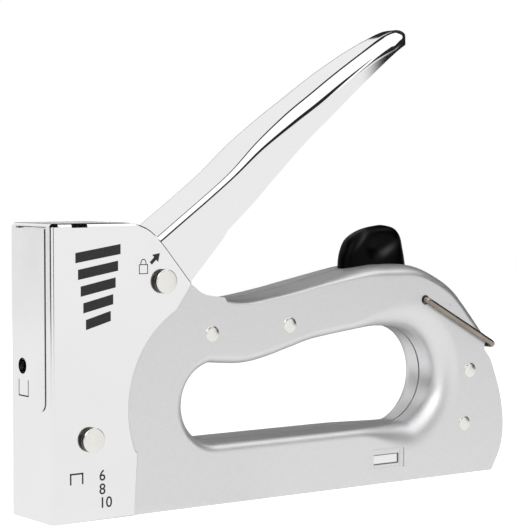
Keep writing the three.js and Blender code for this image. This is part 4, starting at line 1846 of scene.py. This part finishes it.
@dataclass
class Wires:
    """The wire loop at the back and the three springs."""

    finishes: Finishes
    bail_wire: float = 1.0
    bail_beside: float = 0.3  # the gap from a shell to the loop's side
    return_r: float = 5.6
    return_half: float = 5.4
    return_turns: int = 5
    return_leg: float = 25.0
    return_end: float = -48.0  # degrees: where the coil runs out into its leg

    def bail_route(self) -> list[Vector]:
        """The loop's centre line: in through both shells, back, and across behind the grip."""
        out = DATUM.shell_half + self.bail_beside + self.bail_wire
        inside = DATUM.shell_half - DATUM.shell_wall - 2
        back = (DATUM.rear + 41.5, 45.0)
        turns = (
            (DATUM.hinge, -inside), (DATUM.hinge, -out), (back, -out), (back, out),
            (DATUM.hinge, out), (DATUM.hinge, inside),
        )
        corners = [DATUM.place(x, y, z) for (x, z), y in turns]
        route = [corners[0]]
        for i in range(1, 5):
            round_mm = (1.5 if i in (1, 4) else 3.0) * MM
            a, b, c = corners[i - 1], corners[i], corners[i + 1]
            enter = b + (a - b).normalized() * round_mm
            leave = b + (c - b).normalized() * round_mm
            for k in range(11):
                t = k / 10
                route.append(enter * (1 - t) ** 2 + b * 2 * t * (1 - t) + leave * t**2)
        return [*route, corners[-1]]

    def return_route(self) -> list[Vector]:
        """The torsion spring's centre line: round the pivot, then a leg under the lever."""
        (x, z), r, turns = DATUM.pivot, self.return_r, self.return_turns
        last = math.radians(self.return_end)
        steps = turns * 28
        route = []
        for i in range(steps + 1):
            a = last - 2 * math.pi * turns * (1 - i / steps)
            y = lerp(-self.return_half, self.return_half, i / steps)
            route.append(DATUM.place(x + r * math.cos(a), y, z + r * math.sin(a)))
        leg = Vector((-math.sin(last), 0, math.cos(last))) * self.return_leg * MM
        return route + [route[-1] + leg * share for share in (0.25, 0.5, 0.75, 1.0)]

    def build(self) -> None:
        """Wind and place the wires."""
        wire = self.finishes.wire
        bail = wire_along("rear_bail", self.bail_route(), self.bail_wire, wire, 24)
        stand_in(bail, "bail", "spring_steel", "lock_bail")
        main = Winding(5.3, 1.0, 8, 49.1, (13.2, 0, 36.3), Axis.Z)
        coil = wire_along("striker_spring", main.route(), main.wire, wire, 14)
        stand_in(coil, "frame", "spring_steel", "main_spring")
        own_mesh(coil)
        push = Winding(2.9, 0.35, 20, 104.8, (67.2, 0, 7.4), Axis.X)
        follower = wire_along("follower_spring", push.route(20), push.wire, wire, 8)
        stand_in(follower, "drawer", "spring_steel", "pusher_spring")
        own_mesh(follower)
        back = wire_along("lever_spring", self.return_route(), 0.6, wire, 12)
        stand_in(back, "lever", "spring_steel", "lever_return_spring")


# ---------------------------------------------------------------------------
# The works inside
# ---------------------------------------------------------------------------


@dataclass
class Works:
    """The striker, magazine and staple drawer: CAD pieces with their edges broken, and staples."""

    finishes: Finishes
    staple_half: float = 6.5
    staple_leg: float = 10.0
    staple_wire: float = 0.8
    staple_corner: float = 0.9
    staple_foot: float = 3.0
    staple_first: float = 4.6
    staple_count: int = 65
    pad_inner: float = 8.4

    def staple_form(self) -> bpy.types.Object:
        """One staple: flat-sided wire bent square, its corners slightly round."""
        crown, wire = self.staple_half, self.staple_wire
        foot, r = self.staple_foot, self.staple_corner
        top = foot + self.staple_leg + wire
        outer = [(crown, foot), *Arc(crown - r, top - r, r, 0, 90).row(4)]
        inner = [(crown - wire, foot), *Arc(crown - r, top - r, r - wire, 0, 90).row(4)]
        outline = channel_outline(outer, inner)
        n = len(outline)
        points = [
            Vector((x * MM, y * MM, h * MM)) for x in (0.03, wire - 0.03) for y, h in outline
        ]
        faces = bands(2, n) + channel_cap(n, 0) + channel_cap(n, n)
        return from_faces("staple_form", points, faces)

    def staples(self) -> bpy.types.Object:
        """The strip: one staple repeated along a line."""
        form = self.staple_form()
        rig = NodeRig("staples_in_a_row")
        rig.size("Count", self.staple_count)
        rig.size("Pitch", self.staple_wire * MM)
        row = rig.add(
            "GeometryNodeMeshLine",
            {
                "Count": rig.given("Count"),
                "Start Location": tuple(DATUM.place(self.staple_first, 0, 0)),
                "Offset": rig.add("ShaderNodeCombineXYZ", (rig.given("Pitch"),)),
            },
        )
        shape = rig.add("GeometryNodeObjectInfo", {"Object": form})
        placed = rig.add(
            "GeometryNodeInstanceOnPoints", {"Points": row, "Instance": shape.outputs["Geometry"]}
        )
        rig.finish(placed, self.finishes.staple)
        made = rig.run(route_object("staples", [Vector((0, 0, 0))], joined=False))
        bpy.data.meshes.remove(form.data)
        return made

    def window_pads(self) -> list[bpy.types.Object]:
        """The flat pads pressed out of the trough's sides, which fill the base windows."""
        start, out = DATUM.window_start, DATUM.shell_half - 0.35
        return [
            profile_box(start + 0.2, start + 10.6, a, b, 6.85, 9.75)
            for a, b in ((-out, -self.pad_inner), (self.pad_inner, out))
        ]

    def build(self) -> None:
        """Refine and dress every piece inside."""
        f = self.finishes
        plain = (
            ("magazine_channel", "magazine_trough", "frame", "bare_steel", f.casing, 0.1),
            ("staple_rail", "drawer_rail", "drawer", "bare_steel", f.steel, 0.1),
            ("staple_pusher", "follower_block", "pusher", "bare_steel", f.steel, 0.15),
            ("drawer_end_block", "drawer_knob", "drawer", "black_plastic", f.plastic, 0.7),
            ("striker_carrier", "striker_cradle", "striker", "bare_steel", f.steel, 0.12),
            ("striker_blade", "striker_knife", "striker", "bare_steel", f.blackened_steel_and_shade, 0.1),
            ("striker_buffer", "striker_pad", "frame", "black_rubber", f.rubber, 0.5),
            ("spring_top_stop", "spring_seat", "frame", "bare_steel", f.steel, 0.2),
            ("pusher_rod", "follower_rod", "drawer", "bare_steel", f.steel, 0.0),
            ("drawer_leaf_right", "detent_leaf_right", "drawer", "spring_steel", f.steel, 0.0),
            ("drawer_leaf_left", "detent_leaf_left", "drawer", "spring_steel", f.steel, 0.0),
            ("pivot_sleeve", "lever_bush", "frame", "bare_steel", f.steel, 0.0),
            ("grip_sleeve_front", "spacer_front", "frame", "bare_steel", f.steel, 0.0),
            ("grip_sleeve_rear", "spacer_middle", "frame", "bare_steel", f.steel, 0.0),
            ("back_sleeve_upper", "spacer_back_upper", "frame", "bare_steel", f.steel, 0.0),
            ("back_sleeve_lower", "spacer_back_lower", "frame", "bare_steel", f.steel, 0.0),
        )
        for node, name, body, slot, finish, edge in plain:
            made = ready_copy(node, name)
            if node == "magazine_channel":
                combine(made, self.window_pads(), "UNION")
            soften(made, edge=edge, angle=35, segments=3 if edge > 0.3 else 2)
            dress(made, finish)
            stand_in(made, body, slot, node)
        stand_in(self.staples(), "drawer", "staple_wire", "staple_strip")


# ---------------------------------------------------------------------------
# Print
# ---------------------------------------------------------------------------


@dataclass
class Print:
    """Pad-printed marks on the near cheek: sizes, a staple, a padlock, an arrow, plain stripes."""

    finishes: Finishes
    film: float = 0.03

    def film_of(self, name: str, outlines: Sequence[Sequence[Point]]) -> bpy.types.Object:
        """A thin closed film in the shape of several outlines.

        Args:
            name: the object's name.
            outlines: convex or simple outlines in profile millimetres.

        Returns:
            The film, just proud of the cheek.
        """
        points: list[Vector] = []
        faces: list[Sequence[int]] = []
        rows = (-DATUM.head_half - self.film, -DATUM.head_half + 0.004)
        for outline in outlines:
            n, base = len(outline), len(points)
            points += [DATUM.place(x, y, z) for y in rows for x, z in outline]
            for a, b, c in tessellate_polygon([[Vector((x, z, 0)) for x, z in outline]]):
                faces.append((base + a, base + b, base + c))
                faces.append((base + n + a, base + n + c, base + n + b))
            faces += bands(2, n, base)
        return from_faces(name, points, faces)

    def stroke(self, points: Sequence[Point], width: float) -> list[list[Point]]:
        """Bars along a row of points.

        Args:
            points: the row, in profile millimetres.
            width: the bars' width.

        Returns:
            The bars' outlines.
        """
        bars = []
        for (x0, z0), (x1, z1) in zip(points, points[1:]):
            length = math.dist((x0, z0), (x1, z1))
            ux, uz = (x1 - x0) / length, (z1 - z0) / length
            px, pz = -uz * width / 2, ux * width / 2
            ex, ez = ux * width / 2, uz * width / 2
            bars.append(
                [
                    (x0 - ex + px, z0 - ez + pz), (x0 - ex - px, z0 - ez - pz),
                    (x1 + ex - px, z1 + ez - pz), (x1 + ex + px, z1 + ez + pz),
                ]
            )
        return bars

    def stripes(self) -> list[list[Point]]:
        """A plain decoration: slanting bars that shorten downwards."""
        bars = []
        for k in range(5):
            top, height, slant = 84.5 - 5.1 * k, 3.1, 2.4
            left, right = 8.2 + 0.9 * k, 24.2 - 0.9 * k
            bars.append(
                [
                    (left, top - slant), (right, top), (right, top - height),
                    (left, top - slant - height),
                ]
            )
        return bars

    def padlock(self) -> list[list[Point]]:
        """An outlined padlock."""
        shackle = [
            (32.5 + 0.95 * math.cos(a), 78.2 + 1.35 * math.sin(a))
            for a in (math.pi * i / 10 for i in range(11))
        ]
        body = [(31.0, 75.1), (34.0, 75.1), (34.0, 77.9), (31.0, 77.9), (31.0, 75.1)]
        return self.stroke(body, 0.26) + self.stroke(
            [(33.45, 77.9), *shackle, (31.55, 77.9)], 0.26
        )

    def arrow(self) -> list[list[Point]]:
        """A short thick arrow that points up and back."""
        x, z, u, v = 35.2, 78.2, math.cos(math.radians(43)), math.sin(math.radians(43))

        def spot(along: float, side: float) -> Point:
            """A point along the arrow and to its side."""
            return x + u * along - v * side, z + v * along + u * side

        return [
            [spot(0, 0.55), spot(0, -0.55), spot(2.3, -0.55), spot(2.3, 0.55)],
            [spot(2.2, 1.6), spot(2.2, -1.6), spot(4.6, 0)],
        ]

    def numerals(self) -> bpy.types.Object:
        """The staple leg lengths in millimetres, one under another."""
        parts = []
        for text, x, z in (("6", 16.2, 12.2), ("8", 16.2, 8.0), ("10", 16.2, 3.8)):
            data = bpy.data.curves.new("numeral", "FONT")
            data.body, data.size, data.extrude = text, 4.7 * MM, self.film * MM / 2
            data.offset = 0.04 * MM
            holder = bpy.data.objects.new("numeral", data)
            bpy.context.scene.collection.objects.link(holder)
            graph = bpy.context.evaluated_depsgraph_get()
            mesh = bpy.data.meshes.new_from_object(holder.evaluated_get(graph), depsgraph=graph)
            turn = Matrix.Rotation(math.radians(90), 4, "X")
            spot = DATUM.place(x, -DATUM.head_half - self.film / 2 + 0.002, z)
            mesh.transform(Matrix.Translation(spot) @ turn)
            parts.append(mesh)
            bpy.data.objects.remove(holder)
            bpy.data.curves.remove(data)
        work = bmesh.new()
        for mesh in parts:
            work.from_mesh(mesh)
            bpy.data.meshes.remove(mesh)
        bmesh.ops.remove_doubles(work, verts=work.verts, dist=1e-7)
        bmesh.ops.recalc_face_normals(work, faces=work.faces)
        joined = bpy.data.meshes.new("size_numerals")
        work.to_mesh(joined)
        work.free()
        return mesh_object("size_numerals", joined)

    def build(self) -> None:
        """Print every mark."""
        staple = self.stroke([(6.2, 12.0), (6.2, 15.0), (10.4, 15.0), (10.4, 12.0)], 0.5)
        for mark in (
            self.film_of("print_stripes", self.stripes()),
            self.film_of("print_staple", staple),
            self.film_of("print_padlock", self.padlock()),
            self.film_of("print_arrow", self.arrow()),
            self.numerals(),
        ):
            dress(mark, self.finishes.ink)
            stand_in(mark, "frame", "black_plastic")


# ---------------------------------------------------------------------------
# Stage, light and camera
# ---------------------------------------------------------------------------


@dataclass
class Studio:
    """A white sweep, a soft surround that bright metal mirrors, one soft key light, the camera."""

    eye: Point3 = (-0.3695, -0.4962, 0.1059)
    turn: float = 36.15
    dip: float = 2.78
    lens: float = 126.4

    def camera(self) -> None:
        """Set the camera."""
        scene = bpy.context.scene
        data = bpy.data.cameras.new("camera")
        holder = bpy.data.objects.new("camera", data)
        scene.collection.objects.link(holder)
        a, e = math.radians(self.turn), math.radians(self.dip)
        ahead = Vector((math.sin(a) * math.cos(e), math.cos(a) * math.cos(e), -math.sin(e)))
        holder.location = self.eye
        holder.rotation_mode = "QUATERNION"
        holder.rotation_quaternion = ahead.to_track_quat("-Z", "Y")
        data.lens = self.lens
        scene.camera = holder

    def floor(self) -> None:
        """A white floor that keeps the object's shadow.

        In the metal it shows as a bright floor, but dark behind the object on its far side.
        """
        reach = 0.7
        corners = ((-reach, -reach), (reach, -reach), (reach, reach), (-reach, reach))
        points = [Vector((x, y, 0)) for x, y in corners]
        sweep = from_faces("white_sweep", points, [(0, 1, 2, 3)])
        made, tree, place = start_material("white_paper")
        white = (1, 1, 1, 1)
        paths = add_node(tree, "ShaderNodeLightPath")
        paper = add_node(tree, "ShaderNodeBsdfDiffuse", {"Color": (0.8, 0.8, 0.8, 1)})
        lift = add_node(
            tree, "ShaderNodeMath", (paths.outputs["Is Camera Ray"], 0.62), operation="MULTIPLY"
        )
        glow = add_node(tree, "ShaderNodeEmission", {"Color": white, "Strength": lift})
        both = add_node(tree, "ShaderNodeAddShader", (paper, glow))
        x, y, _ = add_node(tree, "ShaderNodeSeparateXYZ", (place,)).outputs
        slant = add_node(tree, "ShaderNodeMath", (y, -0.3, x), operation="MULTIPLY_ADD")
        aside = add_node(tree, "ShaderNodeMapRange", (slant, 0.02, 0.06))
        behind = add_node(tree, "ShaderNodeMapRange", (y, 0.02, 0.06))
        shade = add_node(tree, "ShaderNodeMath", (aside, behind), operation="MULTIPLY")
        strength = add_node(tree, "ShaderNodeMapRange", (shade, 0, 1, 0.95, 0.06))
        mirrored = add_node(tree, "ShaderNodeEmission", {"Color": white, "Strength": strength})
        shown = add_node(
            tree, "ShaderNodeMixShader", (paths.outputs["Is Glossy Ray"], both, mirrored)
        )
        add_node(tree, "ShaderNodeOutputMaterial", (shown,))
        dress(sweep, made)

    def surround(self) -> None:
        """The world: white to the camera; a studio of soft boxes and dark gaps to the metal."""
        world = bpy.data.worlds.new("studio")
        world.use_nodes = True
        bpy.context.scene.world = world
        tree = world.node_tree
        tree.nodes.clear()
        way = add_node(tree, "ShaderNodeTexCoord").outputs["Generated"]
        x, y, z = add_node(tree, "ShaderNodeSeparateXYZ", (way,)).outputs
        off = add_node(tree, "ShaderNodeMath", (x, -0.33), operation="SUBTRACT")
        stripe = add_node(tree, "ShaderNodeMath", (off,), operation="ABSOLUTE")
        paths = add_node(tree, "ShaderNodeLightPath")
        # Each row is a soft border: what is measured, what is taken from it, where the border
        # begins and ends, and the brightness or the earlier row before it and after it.
        borders = (
            ("side", x, 0, 0.70, 0.76, 0.97, 0.02),
            ("striped side", stripe, 0, 0.13, 0.19, 0.02, "side"),
            ("glint", x, 0, 0.56, 0.58, 1.5, 0.02),
            ("upper", x, 0, 0.45, 0.49, 0.02, "glint"),
            ("front", z, 0, 0.24, 0.32, "striped side", "upper"),
            ("dusk", z, 0, 0.06, 0.11, 0.78, 0.02),
            ("rear floor", x, 0, -0.35, 0.10, 0.90, "dusk"),
            ("rear low", x, 0, -0.59, -0.53, 0.03, "rear floor"),
            ("rear high", z, 0, 0.635, 0.66, 0.96, 0.01),
            ("rear edge", x, 0, 0.40, 0.47, 0.0, 0.30),
            ("rear", z, "rear edge", 0.30, 0.42, "rear low", "rear high"),
            ("low", y, 0, -0.10, 0.12, "front", "rear"),
            ("gap", y, 0, -0.10, 0.12, 0.60, 0.84),
            ("light", z, "gap", 0.0, 0.05, "low", 1.3),
            ("seen", paths.outputs["Is Camera Ray"], 0, 0.0, 1.0, "light", 1.0),
        )
        made: dict[str, bpy.types.Node] = {}
        for name, value, taken, begin, end, before, after in borders:
            level = add_node(
                tree, "ShaderNodeMath", (value, made.get(taken, taken)), operation="SUBTRACT"
            )
            share = add_node(
                tree, "ShaderNodeMapRange", (level, begin, end), interpolation_type="SMOOTHSTEP"
            )
            made[name] = add_node(
                tree,
                "ShaderNodeMix",
                {0: share, 2: made.get(before, before), 3: made.get(after, after)},
                data_type="FLOAT",
            )
        back = add_node(
            tree, "ShaderNodeBackground", {"Color": (1, 1, 1, 1), "Strength": made["seen"]}
        )
        add_node(tree, "ShaderNodeOutputWorld", (back,))

    def key(self) -> None:
        """One broad soft lamp over the camera's left shoulder."""
        data = bpy.data.lights.new("key", "AREA")
        data.shape, data.size, data.size_y, data.energy = "RECTANGLE", 0.9, 0.7, 5.0
        lamp = bpy.data.objects.new("key", data)
        bpy.context.scene.collection.objects.link(lamp)
        lamp.location = (-0.75, -1.0, 0.85)
        lamp.rotation_mode = "QUATERNION"
        aim = Vector((0, 0, 0.06)) - lamp.location
        lamp.rotation_quaternion = aim.to_track_quat("-Z", "Y")

    def build(self) -> None:
        """Set up the studio."""
        bpy.context.scene.view_settings.view_transform = "Standard"
        self.camera()
        self.floor()
        self.surround()
        self.key()


frame: dict = {}


def main() -> None:
    """Build the object, its stage and its light."""
    logging.basicConfig(level=logging.INFO, format="%(name)s: %(message)s")
    frame.update(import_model())
    Studio().build()
    finishes = Finishes()
    grip = Grip(finishes)
    Head(finishes).build()
    grip.build()
    Lever(finishes).build()
    Bumper(finishes, grip.crest()).build()
    Fasteners(finishes).build()
    Wires(finishes).build()
    Works(finishes).build()
    Print(finishes).build()
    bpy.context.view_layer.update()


if __name__ == "__main__":
    main()
